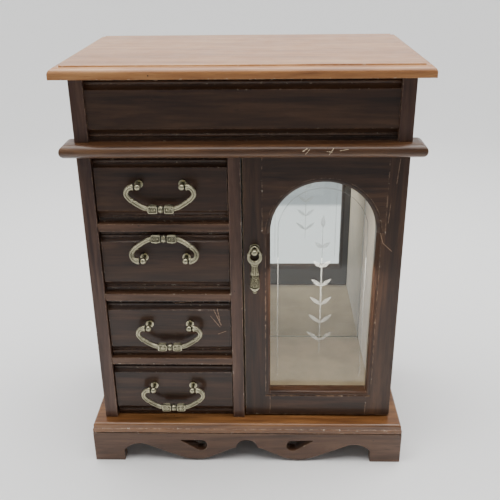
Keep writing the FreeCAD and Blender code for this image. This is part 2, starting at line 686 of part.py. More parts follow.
def make_door_pull():
    """A ball post with a ring and a long drop hanging behind the ball."""
    x, z = "door_x + pull_x", "door_z + pull_rise"
    ball_top = "(ball_radius^2 - post_radius^2)^0.5"
    profile = [("0", "0"), ("0", "-pull_post_reach - ball_radius"),
               ("ball_radius", "-pull_post_reach", "ball_radius", 1),
               ("post_radius", f"-pull_post_reach + {ball_top}", "ball_radius", 1),
               ("post_radius", "-rosette_thick"), ("pull_rosette_radius", "-rosette_thick"),
               ("pull_rosette_radius", "0")]
    keep(revolved_about_y("PullPost", profile, x, "face_y", z), "door_pull_post")

    # The ring's top rests on the stem; the origin is the middle of its wire there,
    # which is also the axis about which the drop swings.
    drop = new_body("PullDrop", x, "face_y - pull_hang", f"{z} + post_radius + pull_wire + pull_play")
    back = "-pull_wire"
    loop = new_sketch(drop, "Ring", "XZ_Plane", offset=back)
    add_circle(loop, "0", "-pull_ring_radius", "pull_ring_radius + pull_wire")
    add_circle(loop, "0", "-pull_ring_radius", "pull_ring_radius - pull_wire")
    pad(drop, loop, "2 * pull_wire")
    wire = number("pull_wire")
    round_edges(drop, "pull_wire_round", lambda box: level(box, "Y", wire) or level(box, "Y", -wire))
    top = "(-2 * pull_ring_radius)"
    tip = "(-pull_length)"
    half = [("-pull_neck", top), ("-pull_neck", f"{top} - pull_neck_length"),
            ("-pull_belly", f"{tip} + pull_belly_rise"),
            ("-pull_neck", f"{tip} + pull_foot_rise", "pull_belly_radius", 1),
            ("-pull_bead_half", f"{tip} + pull_bead_rise"), ("-pull_bead_half", tip)]
    outline = new_sketch(drop, "Outline", "XZ_Plane", offset=back)
    add_path(outline, half + mirrored(half))
    pad(drop, outline, "2 * pull_wire")
    keep(drop, "door_pull_drop")


def make_catch():
    x, back = "door_x + pull_x", "face_y + door_thick"
    bottom = "case_top - catch_height"
    keep(board("Catch", f"{x} - catch_width / 2", f"{back} + strike_thick + catch_gap", bottom,
               "catch_width", "catch_depth", "catch_height"), "door_catch")
    keep(board("Strike", f"{x} - strike_width / 2", back, f"{bottom} + strike_rise",
               "strike_width", "strike_thick", "strike_height"), "door_strike")


# ---- mirror-backed compartment ----

def make_compartment():
    width = "side_inner - compartment_x"
    keep(board("Mirror", "compartment_x", "mirror_y", "case_bottom",
               width, "mirror_thick", "case_height"), "compartment_mirror")
    front = "face_y + door_thick + door_back_gap"
    depth = f"mirror_y - ({front})"
    linings = [
        board("LiningLeft", "compartment_x", front, "case_bottom + lining_thick",
              "lining_thick", depth, "case_height - lining_thick"),
        board("LiningRight", "side_inner - lining_thick", front, "case_bottom + lining_thick",
              "lining_thick", depth, "case_height - lining_thick"),
        board("LiningFloor", "compartment_x", front, "case_bottom", width, depth, "lining_thick")]
    group("compartment_lining", linings)

    inside = "compartment_x + lining_thick"
    span = "(side_inner - compartment_x - 2 * lining_thick)"
    rail_y = "mirror_y - hook_rail_back"
    keep(board("HookRail", inside, rail_y, "case_top - hook_rail_height",
               span, "hook_rail_depth", "hook_rail_height"), "necklace_rail")
    hooks = []
    for i in range(HOOK_COUNT):
        x = f"{inside} + {span} * {(i + 0.5) / HOOK_COUNT}"
        y, top = f"{rail_y} + hook_rail_depth / 2", "case_top - hook_rail_height"
        stem = cylinder(f"HookStem{i}", x, y, f"{top} - hook_stem", "hook_wire", "hook_stem")
        bend = doc.addObject("Part::Torus", f"HookBend{i}")
        bind(bend, Radius1="hook_bend", Radius2="hook_wire", Angle3="hook_sweep")
        bend.Placement.Rotation = FreeCAD.Rotation(FreeCAD.Vector(0.5, 0.5, 0.5), 120)
        place(bend, x, f"{y} - hook_bend", f"{top} - hook_stem")
        hook = doc.addObject("Part::Fuse", f"Hook{i}")
        hook.Base = stem
        hook.Tool = bend
        hooks.append(hook)
    group("necklace_hooks", hooks)


# ---- tray under the lid ----

def make_tray():
    for name, x in (("left", "-body_width / 2"), ("right", "side_inner")):
        keep(board(f"TraySide{name}", x, "front_y", "tray_bottom",
                   "side_thick", "body_depth", "tray_height"), f"tray_side_{name}")
    moulded_front("TrayFront", "-side_inner", "front_y + tray_setback", "tray_bottom",
                  "2 * side_inner", "tray_height", "tray_wall", "tray_front")

    back = new_body("TrayBack", y="tray_in_back", z="tray_bottom")
    outline = new_sketch(back, "Outline", "XY_Plane")
    add_path(outline, rectangle("-side_inner", "0", "side_inner", "tray_wall"))
    pad(back, outline, "tray_height")
    mortises = new_sketch(back, "Mortises", "XY_Plane", offset="tray_height")
    screws = new_sketch(back, "ScrewHoles", "XY_Plane", offset="tray_height")
    for x in hinge_places():
        half = "(leaf_length / 2 + mortise_play)"
        near = "tray_wall + knuckle_radius - leaf_width - mortise_play"
        add_path(mortises, rectangle(f"{x} - {half}", near, f"{x} + {half}", "tray_wall"))
        for sign in (-1, 1):
            add_circle(screws, f"{x} + {sign} * screw_spacing / 2",
                       "tray_wall + knuckle_radius - leaf_screw_line", "screw_radius")
    pocket(back, mortises, "leaf_thick + leaf_gap + mortise_play")
    pocket(back, screws, "leaf_gap + leaf_thick + screw_length")
    keep(back, "tray_back")

    lining = new_body("TrayLining", y="tray_in_front", z="tray_bottom")
    outer = new_sketch(lining, "Outer", "XY_Plane")
    add_path(outer, rectangle("-side_inner", "0", "side_inner", "tray_in_depth"))
    pad(lining, outer, "tray_height - tray_lining_drop")
    inner = new_sketch(lining, "Inner", "XY_Plane", offset="tray_height - tray_lining_drop")
    x, wall = "(side_inner - tray_lining_thick)", "tray_lining_thick"
    add_path(inner, rectangle(f"-{x}", wall, x, f"tray_in_depth - {wall}"))
    pocket(lining, inner, f"tray_height - tray_lining_drop - {wall}")
    keep(lining, "tray_lining")

    floor = "tray_bottom + tray_lining_thick"
    near, depth = "(tray_in_front + tray_lining_thick)", "(tray_in_depth - 2 * tray_lining_thick)"
    left = "(tray_lining_thick - side_inner)"
    wall_x = f"({left} + roll_bay)"
    open_x = f"({wall_x} + divider_thick)"
    open_width = f"(side_inner - tray_lining_thick - {open_x})"
    middle_y = f"({near} + {depth} / 2 - divider_thick / 2)"
    middle_x = f"({open_x} + {open_width} / 2 - divider_thick / 2)"
    half_depth = f"({depth} - divider_thick) / 2"
    group("tray_dividers", [
        board("DividerMain", wall_x, near, floor, "divider_thick", depth, "divider_height"),
        board("DividerLong", open_x, middle_y, floor, open_width, "divider_thick", "divider_height"),
        board("DividerFront", middle_x, near, floor, "divider_thick", half_depth, "divider_height"),
        board("DividerBack", middle_x, f"{middle_y} + divider_thick", floor,
              "divider_thick", half_depth, "divider_height")])

    rolls = []
    pitch = f"(({depth} - 2 * roll_play) / {ROLL_COUNT})"
    thick = f"({pitch} - roll_gap)"
    for i in range(ROLL_COUNT):
        roll = new_body(f"Roll{i}", f"{left} + roll_play", f"{near} + roll_play + {i} * {pitch}",
                        f"{floor} + roll_lift")
        section = new_sketch(roll, "Section", "YZ_Plane")
        spring = f"roll_height - {thick} / 2"
        add_path(section, [("0", "0"), (thick, "0"), (thick, spring), ("0", spring, None, 1)])
        pad(roll, section, "roll_bay - 2 * roll_play")
        rolls.append(roll)
    group("ring_rolls", rolls)


# ---- lid and its hinges ----

def hinge_places():
    return ["-hinge_spacing / 2", "hinge_spacing / 2"]


def make_lid():
    lid = new_body("Lid", z="lid_bottom")
    lower = new_sketch(lid, "LowerStep", "XY_Plane")
    add_path(lower, rectangle("-half_lid_x", "-half_lid_y", "half_lid_x", "half_lid_y"))
    pad(lid, lower, "ovolo_top")
    step = number("ovolo_top")
    round_edges(lid, "ovolo_radius", lambda box: level(box, "Z", step))
    upper = new_sketch(lid, "UpperStep", "XY_Plane", offset="ovolo_top / 2")
    x, y = "(half_lid_x - lid_step_inset)", "(half_lid_y - lid_step_inset)"
    add_path(upper, rectangle(f"-{x}", f"-{y}", x, y))
    pad(lid, upper, "lid_thick - ovolo_top / 2")
    top = number("lid_thick")
    round_edges(lid, "lid_step_round", lambda box: level(box, "Z", top))

    mortises = new_sketch(lid, "Mortises", "XY_Plane")
    knuckles = new_sketch(lid, "KnuckleSlots", "XY_Plane")
    screws = new_sketch(lid, "ScrewHoles", "XY_Plane")
    half = "(leaf_length / 2 + mortise_play)"
    reach = "(knuckle_radius + knuckle_play)"
    for x in hinge_places():
        ends = (f"{x} - {half}", f"{x} + {half}")
        add_path(mortises, rectangle(ends[0], "hinge_y - leaf_width - mortise_play",
                                     ends[1], f"hinge_y - {reach} + mortise_lap"))
        add_path(knuckles, rectangle(ends[0], f"hinge_y - {reach}", ends[1], f"hinge_y + {reach}"))
        for sign in (-1, 1):
            add_circle(screws, f"{x} + {sign} * screw_spacing / 2", "hinge_y - leaf_screw_line",
                       "screw_radius")
    pocket(lid, mortises, "leaf_thick + leaf_gap + mortise_play", reverse=True)
    pocket(lid, knuckles, "knuckle_radius + knuckle_play", reverse=True)
    pocket(lid, screws, "leaf_gap + leaf_thick + screw_length", reverse=True)
    keep(lid, "lid_board")

    centre_y = "(tray_in_front + tray_in_back) / 2"
    x, y = "lid_mirror_width / 2", "lid_mirror_depth / 2"
    wide, tall = "lid_frame_width", "lid_frame_height"
    keep(board("LidMirror", f"-{x}", f"{centre_y} - {y}", "lid_bottom - mirror_thick",
               "lid_mirror_width", "lid_mirror_depth", "mirror_thick"), "lid_mirror")
    z = f"lid_bottom - {tall}"
    frame = [
        board("FrameFront", f"-{x} - {wide}", f"{centre_y} - {y} - {wide}", z,
              f"lid_mirror_width + 2 * {wide}", wide, tall),
        board("FrameBack", f"-{x} - {wide}", f"{centre_y} + {y}", z,
              f"lid_mirror_width + 2 * {wide}", wide, tall),
        board("FrameLeft", f"-{x} - {wide}", f"{centre_y} - {y}", z, wide, "lid_mirror_depth", tall),
        board("FrameRight", x, f"{centre_y} - {y}", z, wide, "lid_mirror_depth", tall)]
    group("lid_mirror_frame", frame)


def hinge_leaf(name, x, on_lid):
    """One leaf with its knuckles about the pin; y runs forward from the pin."""
    leaf = new_body(name, x, "hinge_y", "lid_bottom")
    side = 1 if on_lid else -1
    third = "leaf_length / 6"
    plate = new_sketch(leaf, "Plate", "YZ_Plane", offset="-leaf_length / 2")
    z0, z1 = f"{side} * leaf_gap", f"{side} * (leaf_gap + leaf_thick)"
    low, high = (z0, z1) if on_lid else (z1, z0)
    add_path(plate, rectangle("-leaf_width", low, "-leaf_root", high))
    pad(leaf, plate, "leaf_length")
    # this leaf keeps away from the other leaf's knuckles
    middle = [(f"-{third}", third)]
    outer = [("-leaf_length / 2", f"-{third}"), (third, "leaf_length / 2")]
    spans, others = (middle, outer) if on_lid else (outer, middle)
    above = f"{side} * (leaf_gap + leaf_thick + overrun)"
    notch = new_sketch(leaf, "Notches", "XY_Plane", offset=above)
    for start, end in others:
        add_path(notch, rectangle(f"{start} - knuckle_play", "-knuckle_radius - knuckle_play",
                                  f"{end} + knuckle_play", "overrun"))
    pocket(leaf, notch, "leaf_thick + 2 * overrun", reverse=not on_lid)
    for i, (start, end) in enumerate(spans):
        inner = "knuckle_play" if on_lid else "0"
        barrel = new_sketch(leaf, f"Barrel{i}", "YZ_Plane", offset=f"{start} + {inner}")
        add_circle(barrel, "0", "0", "knuckle_radius")
        pad(leaf, barrel, f"{end} - ({start}) - 2 * {inner}")
    bore = new_sketch(leaf, "Bore", "YZ_Plane", offset="-leaf_length / 2 - overrun")
    play = "hinge_pin_play" if on_lid else "0"
    add_circle(bore, "0", "0", f"hinge_pin_radius + {play}")
    pocket(leaf, bore, "leaf_length + 2 * overrun", reverse=True)
    holes = new_sketch(leaf, "ScrewHoles", "XY_Plane", offset=above)
    for sign in (-1, 1):
        add_circle(holes, f"{sign} * screw_spacing / 2", "-leaf_screw_line", "screw_head")
    pocket(leaf, holes, "leaf_thick + 2 * overrun", reverse=not on_lid)
    return leaf


def hinge_screw(name, x, side):
    """A flush screw: its head fills the leaf's hole, its shank goes into the wood."""
    screw = new_body(name, x, "hinge_y - leaf_screw_line", f"lid_bottom + {side} * leaf_gap")
    profile = new_sketch(screw, "Profile", "XZ_Plane")
    head, tip = f"{side} * leaf_thick", f"{side} * (leaf_thick + screw_length)"
    add_path(profile, [("0", "0"), ("screw_head", "0"), ("screw_head", head), ("screw_radius", head),
                       ("screw_radius", tip), ("0", tip)])
    revolve(screw, profile, "V_Axis")
    return screw


def make_hinges():
    leaves = {"case": [], "lid": []}
    screws = {"case": [], "lid": []}
    pins = []
    for i, x in enumerate(hinge_places()):
        for owner, on_lid in (("case", False), ("lid", True)):
            leaves[owner].append(hinge_leaf(f"Leaf{owner}{i}", x, on_lid))
            for sign in (-1, 1):
                screws[owner].append(hinge_screw(f"Screw{owner}{i}{sign + 1}",
                                                 f"{x} + {sign} * screw_spacing / 2",
                                                 1 if on_lid else -1))
        pin = cylinder(f"HingePin{i}", f"{x} - leaf_length / 2", "hinge_y", "lid_bottom",
                       "hinge_pin_radius", "leaf_length")
        pin.Placement.Rotation = FreeCAD.Rotation(FreeCAD.Vector(0, 1, 0), 90)
        pins.append(pin)
    for owner in ("case", "lid"):
        group(f"hinge_leaves_{owner}", leaves[owner])
        group(f"hinge_screws_{owner}", screws[owner])
    group("lid_hinge_pins", pins)


# ---- build, check and write ----

make_plinth()
make_base_board()
make_case()
make_waist_moulding()
for index in range(1, DRAWER_COUNT + 1):
    make_drawer(index)
make_door_frame()
make_glazing()
make_door_pivots()
make_door_pull()
make_catch()
make_compartment()
make_tray()
make_lid()
make_hinges()
doc.recompute()

for thing in doc.Objects:
    if "Invalid" in thing.State or "Error" in thing.State:
        raise ValueError(f"{thing.Label} failed: {thing.State}")
for part in subparts:
    if part.Shape.isNull() or not part.Shape.isValid() or not part.Shape.Solids:
        raise ValueError(f"{part.Label} has no valid solid")

os.makedirs("parts", exist_ok=True)
for part in subparts:
    part.Shape.exportStep(f"parts/{part.Label}.step")
print(f"{len(subparts)} sub-parts written")
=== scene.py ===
import math

import bmesh
import bpy
from mathutils import Matrix, Vector, noise


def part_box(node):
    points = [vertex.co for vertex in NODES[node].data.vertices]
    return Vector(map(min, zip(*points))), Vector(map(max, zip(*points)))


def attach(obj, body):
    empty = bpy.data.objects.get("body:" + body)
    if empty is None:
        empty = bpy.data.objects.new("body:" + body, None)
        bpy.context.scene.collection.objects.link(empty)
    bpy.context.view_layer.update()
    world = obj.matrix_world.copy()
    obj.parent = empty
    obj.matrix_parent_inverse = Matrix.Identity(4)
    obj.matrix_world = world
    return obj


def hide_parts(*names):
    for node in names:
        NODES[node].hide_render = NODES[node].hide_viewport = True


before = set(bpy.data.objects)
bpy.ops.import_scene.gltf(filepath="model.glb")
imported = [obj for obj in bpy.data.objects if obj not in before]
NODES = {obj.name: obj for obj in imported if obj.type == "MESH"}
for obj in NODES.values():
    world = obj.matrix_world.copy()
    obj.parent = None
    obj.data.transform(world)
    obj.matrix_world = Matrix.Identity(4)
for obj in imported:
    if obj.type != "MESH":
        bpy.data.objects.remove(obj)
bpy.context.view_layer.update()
MM = 0.001
DRAWERS = range(1, 5)


# ---- camera, floor and light ----

CAMERA_PLACE = Vector((0.0199, -0.6024, 0.4451))
CAMERA_PITCH = math.radians(24.18)
CAMERA_YAW = math.radians(-1.65)
CAMERA_ROLL = math.radians(-0.67)
CAMERA_LENS = 50.39
SENSOR_WIDTH = 36
WORLD_COLOUR = (0.75, 0.8, 0.85, 1)
WORLD_STRENGTH = 0.03

# The pale floor turns grey this far in front, which the compartment mirror reflects.
TABLE_FRONT = -0.45
TABLE_FADE = 0.02


def add_camera():
    data = bpy.data.cameras.new("Camera")
    data.lens = CAMERA_LENS
    data.sensor_width = SENSOR_WIDTH
    data.clip_start = 0.01
    camera = bpy.data.objects.new("Camera", data)
    bpy.context.scene.collection.objects.link(camera)
    tilt = Matrix.Rotation(math.pi / 2 - CAMERA_PITCH, 4, "X")
    turn = Matrix.Rotation(-CAMERA_YAW, 4, "Z")
    roll = Matrix.Rotation(CAMERA_ROLL, 4, "Z")
    camera.matrix_world = Matrix.Translation(CAMERA_PLACE) @ turn @ tilt @ roll
    bpy.context.scene.camera = camera


def area_light(name, place, target, size, power, colour=(1, 1, 1)):
    data = bpy.data.lights.new(name, "AREA")
    data.shape = "RECTANGLE"
    data.size, data.size_y = size
    data.energy = power
    data.color = colour
    light = bpy.data.objects.new(name, data)
    bpy.context.scene.collection.objects.link(light)
    aim = Vector(target) - Vector(place)
    light.matrix_world = Matrix.Translation(place) @ aim.to_track_quat("-Z", "Y").to_matrix().to_4x4()
    return light


def add_studio():
    """A round floor that curves up into a wall all round, under soft light from above."""
    wall, bend, top, steps, sectors = 1.75, 0.6, 2.1, 14, 96
    profile = [(wall - bend, 0.0)]
    for i in range(1, steps + 1):
        angle = math.pi / 2 * i / steps
        profile.append((wall - bend + bend * math.sin(angle), bend - bend * math.cos(angle)))
    profile.append((wall, top))
    mesh = bpy.data.meshes.new("Studio")
    points = [(radius * c, radius * s, z) for radius, z in profile for c, s in circle(sectors)]
    faces = [tuple(range(sectors))]
    for ring in range(len(profile) - 1):
        for i in range(sectors):
            j = (i + 1) % sectors
            faces.append((ring * sectors + j, ring * sectors + i,
                          (ring + 1) * sectors + i, (ring + 1) * sectors + j))
    mesh.from_pydata(points, [], faces)
    mesh.polygons.foreach_set("use_smooth", [True] * len(faces))
    floor = bpy.data.objects.new("studio_floor", mesh)
    bpy.context.scene.collection.objects.link(floor)
    floor.data.materials.append(studio_material())

    world = bpy.data.worlds.new("World")
    bpy.context.scene.world = world
    world.use_nodes = True
    background = world.node_tree.nodes["Background"]
    background.inputs["Color"].default_value = WORLD_COLOUR
    background.inputs["Strength"].default_value = WORLD_STRENGTH
    area_light("Top", (0, 0.02, 1.3), (0, 0, 0.2), (1.7, 1.4), 35, (1, 0.985, 0.96))
    area_light("Left", (-1.1, -0.5, 0.85), (0, 0, 0.2), (0.7, 0.9), 1.6, (1, 0.98, 0.95))
    area_light("Right", (1.2, -0.3, 0.8), (0, 0, 0.2), (0.6, 0.8), 0.7, (1, 0.99, 0.98))
    area_light("Backdrop", (0, 0.15, 1.5), (0, 0.75, 0.6), (1.6, 0.5), 12)
    # Stands in for daylight through the door: Cycles glass leaves the compartment dark.
    inside = area_light("Inside", (0.0648, -0.060, 0.20), (0.0648, 0.01, 0.06), (0.08, 0.12), 0.24,
                        (1, 0.975, 0.93))
    inside.visible_camera = False
    inside.visible_glossy = False
    inside.visible_transmission = False


# ---- node helpers ----

# The colour sockets of a Mix node: two inputs and the output.
MIX_FIRST, MIX_SECOND, MIX_RESULT = 6, 7, 2


class Tree:
    """A short way to write a material's node tree."""

    def __init__(self, name):
        self.material = bpy.data.materials.new(name)
        self.material.use_nodes = True
        self.nodes = self.material.node_tree.nodes
        self.links = self.material.node_tree.links
        self.shader = self.nodes["Principled BSDF"]

    def add(self, kind, values=(), **settings):
        node = self.nodes.new("ShaderNode" + kind)
        for key, value in settings.items():
            setattr(node, key, value)
        for key, value in dict(values).items():
            self.put(node, key, value)
        return node

    def put(self, node, key, value):
        """Set a socket to a constant, or link it from another node's output."""
        if hasattr(value, "links") or hasattr(value, "is_linked"):
            self.links.new(value, node.inputs[key])
        elif isinstance(value, (tuple, list)) and len(value) == 3 and node.inputs[key].type == "RGBA":
            node.inputs[key].default_value = (*value, 1)
        else:
            node.inputs[key].default_value = value

    def place(self, scale=(1, 1, 1), offset=(0, 0, 0)):
        coordinates = self.add("TexCoord")
        mapping = self.add("Mapping", {"Vector": coordinates.outputs["Object"], "Scale": scale,
                                       "Location": offset})
        return mapping.outputs["Vector"]

    def noise(self, vector, scale, detail=3, rough=0.55, distortion=0.0):
        node = self.add("TexNoise", {"Vector": vector, "Scale": scale, "Detail": detail,
                                     "Roughness": rough, "Distortion": distortion})
        return node.outputs["Fac"]

    def ramp(self, value, stops):
        """Map a value to colours: stops are (position, colour)."""
        node = self.add("ValToRGB", {"Fac": value})
        while len(node.color_ramp.elements) < len(stops):
            node.color_ramp.elements.new(0.5)
        for element, (position, colour) in zip(node.color_ramp.elements, stops):
            element.position = position
            element.color = (*colour, 1) if len(colour) == 3 else colour
        return node.outputs["Color"]

    def band(self, value, low, high):
        """0 below low, 1 above high."""
        node = self.add("MapRange", {"Value": value, "From Min": low, "From Max": high},
                        interpolation_type="SMOOTHSTEP")
        return node.outputs["Result"]

    def math(self, operation, *values):
        node = self.add("Math", operation=operation)
        for i, value in enumerate(values):
            self.put(node, i, value)
        return node.outputs["Value"]

    def mix(self, factor, first, second, blend="MIX"):
        node = self.add("Mix", data_type="RGBA", blend_type=blend)
        self.put(node, "Factor", factor)
        for key, value in ((MIX_FIRST, first), (MIX_SECOND, second)):
            if isinstance(value, tuple):
                value = (*value, 1)[:4]
            self.put(node, key, value)
        return node.outputs[MIX_RESULT]

    def edges(self, radius):
        """1 on sharp edges, falling to 0 on flat faces."""
        bevel = self.add("Bevel", {"Radius": radius}, samples=4)
        flat = self.add("NewGeometry")
        dot = self.add("VectorMath", {0: bevel.outputs["Normal"], 1: flat.outputs["Normal"]},
                       operation="DOT_PRODUCT")
        return self.band(self.math("SUBTRACT", 1, dot.outputs["Value"]), 0.01, 0.16)

    def scratch(self, start, end, width):
        """1 along a segment between two (x, z) points in millimetres, broken up by noise."""
        flat = self.add("VectorMath", {0: self.place(), 1: (1, 0, 1)}, operation="MULTIPLY")
        first = Vector((start[0], 0, start[1])) * MM
        span = Vector((end[0], 0, end[1])) * MM - first
        away = self.add("VectorMath", {0: flat.outputs[0], 1: tuple(first)}, operation="SUBTRACT")
        along = self.add("VectorMath", {0: away.outputs[0], 1: tuple(span / span.length_squared)},
                         operation="DOT_PRODUCT")
        share = self.add("Clamp", {"Value": along.outputs["Value"]}).outputs[0]
        step = self.add("VectorMath", {0: tuple(span), "Scale": share}, operation="SCALE")
        gap = self.add("VectorMath", {0: away.outputs[0], 1: step.outputs[0]}, operation="DISTANCE")
        ragged = self.math("MULTIPLY", self.noise(self.place(), 800, 3, 0.7), 2 * width * MM)
        return self.math("LESS_THAN", gap.outputs["Value"],
                         self.math("SUBTRACT", ragged, 0.6 * width * MM))

    def bump(self, height, strength, distance=0.0005):
        node = self.add("Bump", {"Height": height, "Strength": strength, "Distance": distance})
        self.put(self.shader, "Normal", node.outputs["Normal"])

    def finish(self, **values):
        for key, value in values.items():
            self.put(self.shader, key.replace("_", " "), value)
        return self.material


def studio_material():
    tree = Tree("studio")
    along = tree.add("SeparateXYZ", {"Vector": tree.place()}).outputs["Y"]
    cloth = tree.mix(tree.noise(tree.place(), 30, 4, 0.7), (0.34, 0.355, 0.37), (0.42, 0.435, 0.45))
    shade = tree.mix(tree.band(along, TABLE_FRONT - TABLE_FADE, TABLE_FRONT), cloth, (0.86, 0.865, 0.87))
    soft = tree.noise(tree.place(), 6, 2)
    tree.bump(soft, 0.02)
    return tree.finish(Base_Color=shade, Roughness=0.6)


# ---- materials of the object ----

GROUND_EDGE = 1.9
GROUND_FADE = 0.2
BACK_FADE = 0.3
RUB_RADIUS = 0.0011
CHIP_RADIUS = 0.0016
CHIP_COLOUR = (0.66, 0.56, 0.43)
SPECK_COLOUR = (0.008, 0.005, 0.004)
HIDDEN_COLOUR = (0.060, 0.050, 0.042)
GRAIN = {"x": (0.07, 1, 1), "y": (1, 0.07, 1), "z": (1, 1, 0.07)}


def wood(name, tones, along, gloss=0.3, coat=0.25, wear=0.6, worn=(0.42, 0.27, 0.17), shift=0.0,
         scratches=(), back=None):
    """Stained and varnished wood: streaked grain, pores, rubbed edges, scuffs and dark specks.

    Each scratch is ((x, z), (x, z), width) on the front, in millimetres. Behind the depth
    given by back, the wood is a plain dark brown, as a hidden side is.
    """
    tree = Tree(name)
    vector = tree.place(GRAIN[along], (shift, shift * 0.7, shift * 1.3))
    streaks = tree.noise(vector, 230, 4, 0.6, 0.35)
    clouds = tree.noise(vector, 42, 3, 0.5, 1.1)
    pores = tree.noise(vector, 1500, 2, 0.5)
    dark, middle, light = tones
    figure = tree.math("ADD", tree.math("MULTIPLY", streaks, 0.55), tree.math("MULTIPLY", clouds, 0.45))
    colour = tree.ramp(figure, [(0.36, dark), (0.5, middle), (0.66, light)])
    dirt = tree.band(pores, 0.60, 0.72)
    colour = tree.mix(tree.math("MULTIPLY", dirt, 0.55), colour, dark)
    free = tree.place()
    rubbed = tree.math("MULTIPLY", tree.edges(RUB_RADIUS),
                       tree.band(tree.noise(free, 190, 4, 0.7), 0.42, 0.62))
    rubbed = tree.math("MULTIPLY", rubbed, wear)
    nicks = tree.band(tree.noise(tree.place((1, 1, 1), (3.1, 1.7, 0.4)), 330, 5, 0.75), 0.715, 0.74)
    nicks = tree.math("MULTIPLY", nicks, min(1.0, wear * 0.8))
    marks = tree.math("MAXIMUM", rubbed, nicks)
    for start, end, width in scratches:
        marks = tree.math("MAXIMUM", marks, tree.scratch(start, end, width))
    colour = tree.mix(marks, colour, worn)
    chips = tree.math("MULTIPLY", tree.edges(CHIP_RADIUS),
                      tree.band(tree.noise(free, 240, 2, 0.5), 0.66, 0.68))
    colour = tree.mix(tree.math("MULTIPLY", chips, min(1.0, wear * 1.3)), colour, CHIP_COLOUR)
    cells = tree.add("TexVoronoi", {"Vector": free, "Scale": 120.0, "Randomness": 1.0})
    chance = tree.add("SeparateColor", {"Color": cells.outputs["Color"]}).outputs[0]
    speck = tree.math("MULTIPLY", tree.math("LESS_THAN", cells.outputs["Distance"], 0.062),
                      tree.math("GREATER_THAN", chance, 0.72))
    colour = tree.mix(speck, colour, SPECK_COLOUR)
    if back is not None:
        depth = tree.add("SeparateXYZ", {"Vector": free}).outputs["Y"]
        hidden = tree.band(depth, (back - BACK_FADE) * MM, back * MM)
        colour = tree.mix(hidden, colour, HIDDEN_COLOUR)
    haze = tree.noise(tree.place((1, 1, 1), (0.3, 2.2, 5.1)), 60, 4, 0.6)
    rough = tree.math("ADD", gloss, tree.math("MULTIPLY", haze, 0.22))
    rough = tree.math("ADD", rough, tree.math("MULTIPLY", marks, 0.2))
    relief = tree.math("SUBTRACT", tree.math("MULTIPLY", streaks, 0.4), tree.math("MULTIPLY", dirt, 0.25))
    relief = tree.math("SUBTRACT", relief, tree.math("MULTIPLY", marks, 0.6))
    tree.bump(relief, 0.22, 0.0003)
    return tree.finish(Base_Color=colour, Roughness=rough, Coat_Weight=coat, Coat_Roughness=0.16,
                       Specular_IOR_Level=0.3)


DARK_TONES = ((0.015, 0.0068, 0.004), (0.040, 0.0175, 0.0085), (0.080, 0.037, 0.0175))
WARM_DARK = ((0.030, 0.013, 0.009), (0.070, 0.034, 0.022), (0.125, 0.068, 0.045))
WARM_TONES = ((0.075, 0.028, 0.009), (0.165, 0.068, 0.022), (0.27, 0.125, 0.043))
WAIST_TONES = ((0.040, 0.016, 0.007), (0.095, 0.042, 0.018), (0.17, 0.085, 0.037))
LID_TONES = ((0.20, 0.080, 0.028), (0.34, 0.15, 0.052), (0.48, 0.25, 0.10))
PLINTH_TONES = ((0.042, 0.020, 0.011), (0.092, 0.045, 0.025), (0.145, 0.078, 0.045))
BACK_TONES = ((0.085, 0.040, 0.018), (0.14, 0.072, 0.034), (0.20, 0.11, 0.055))
INNER_TONES = ((0.16, 0.08, 0.035), (0.26, 0.145, 0.07), (0.36, 0.22, 0.12))


def antique_brass():
    """Cast brass, dark in its hollows and rubbed bright where it stands proud."""
    tree = Tree("antique_brass")
    free = tree.place()
    patina = tree.noise(free, 900, 4, 0.7)
    hollow = tree.add("AmbientOcclusion", {"Distance": 0.0016}, samples=6).outputs["AO"]
    raised = tree.edges(0.0005)
    amount = tree.math("ADD", tree.math("MULTIPLY", hollow, 0.62), tree.math("MULTIPLY", patina, 0.42))
    amount = tree.math("ADD", amount, tree.math("MULTIPLY", raised, 0.14))
    colour = tree.ramp(amount, [(0.46, (0.022, 0.020, 0.014)), (0.68, (0.16, 0.145, 0.085)),
                                (0.92, (0.58, 0.54, 0.38))])
    rough = tree.math("SUBTRACT", 0.62, tree.math("MULTIPLY", amount, 0.4))
    tree.bump(patina, 0.16, 0.0002)
    return tree.finish(Base_Color=colour, Roughness=rough, Metallic=0.95)


def felt(name, colour, pile=1700):
    tree = Tree(name)
    free = tree.place()
    fibres = tree.noise(free, pile, 3, 0.7)
    shading = tree.noise(free, 55, 3, 0.6)
    dark = tuple(part * 0.72 for part in colour)
    tone = tree.ramp(tree.math("ADD", tree.math("MULTIPLY", fibres, 0.5),
                               tree.math("MULTIPLY", shading, 0.5)), [(0.38, dark), (0.62, colour)])
    tree.bump(fibres, 0.5, 0.0004)
    return tree.finish(Base_Color=tone, Roughness=0.95, Sheen_Weight=0.5, Sheen_Roughness=0.45)


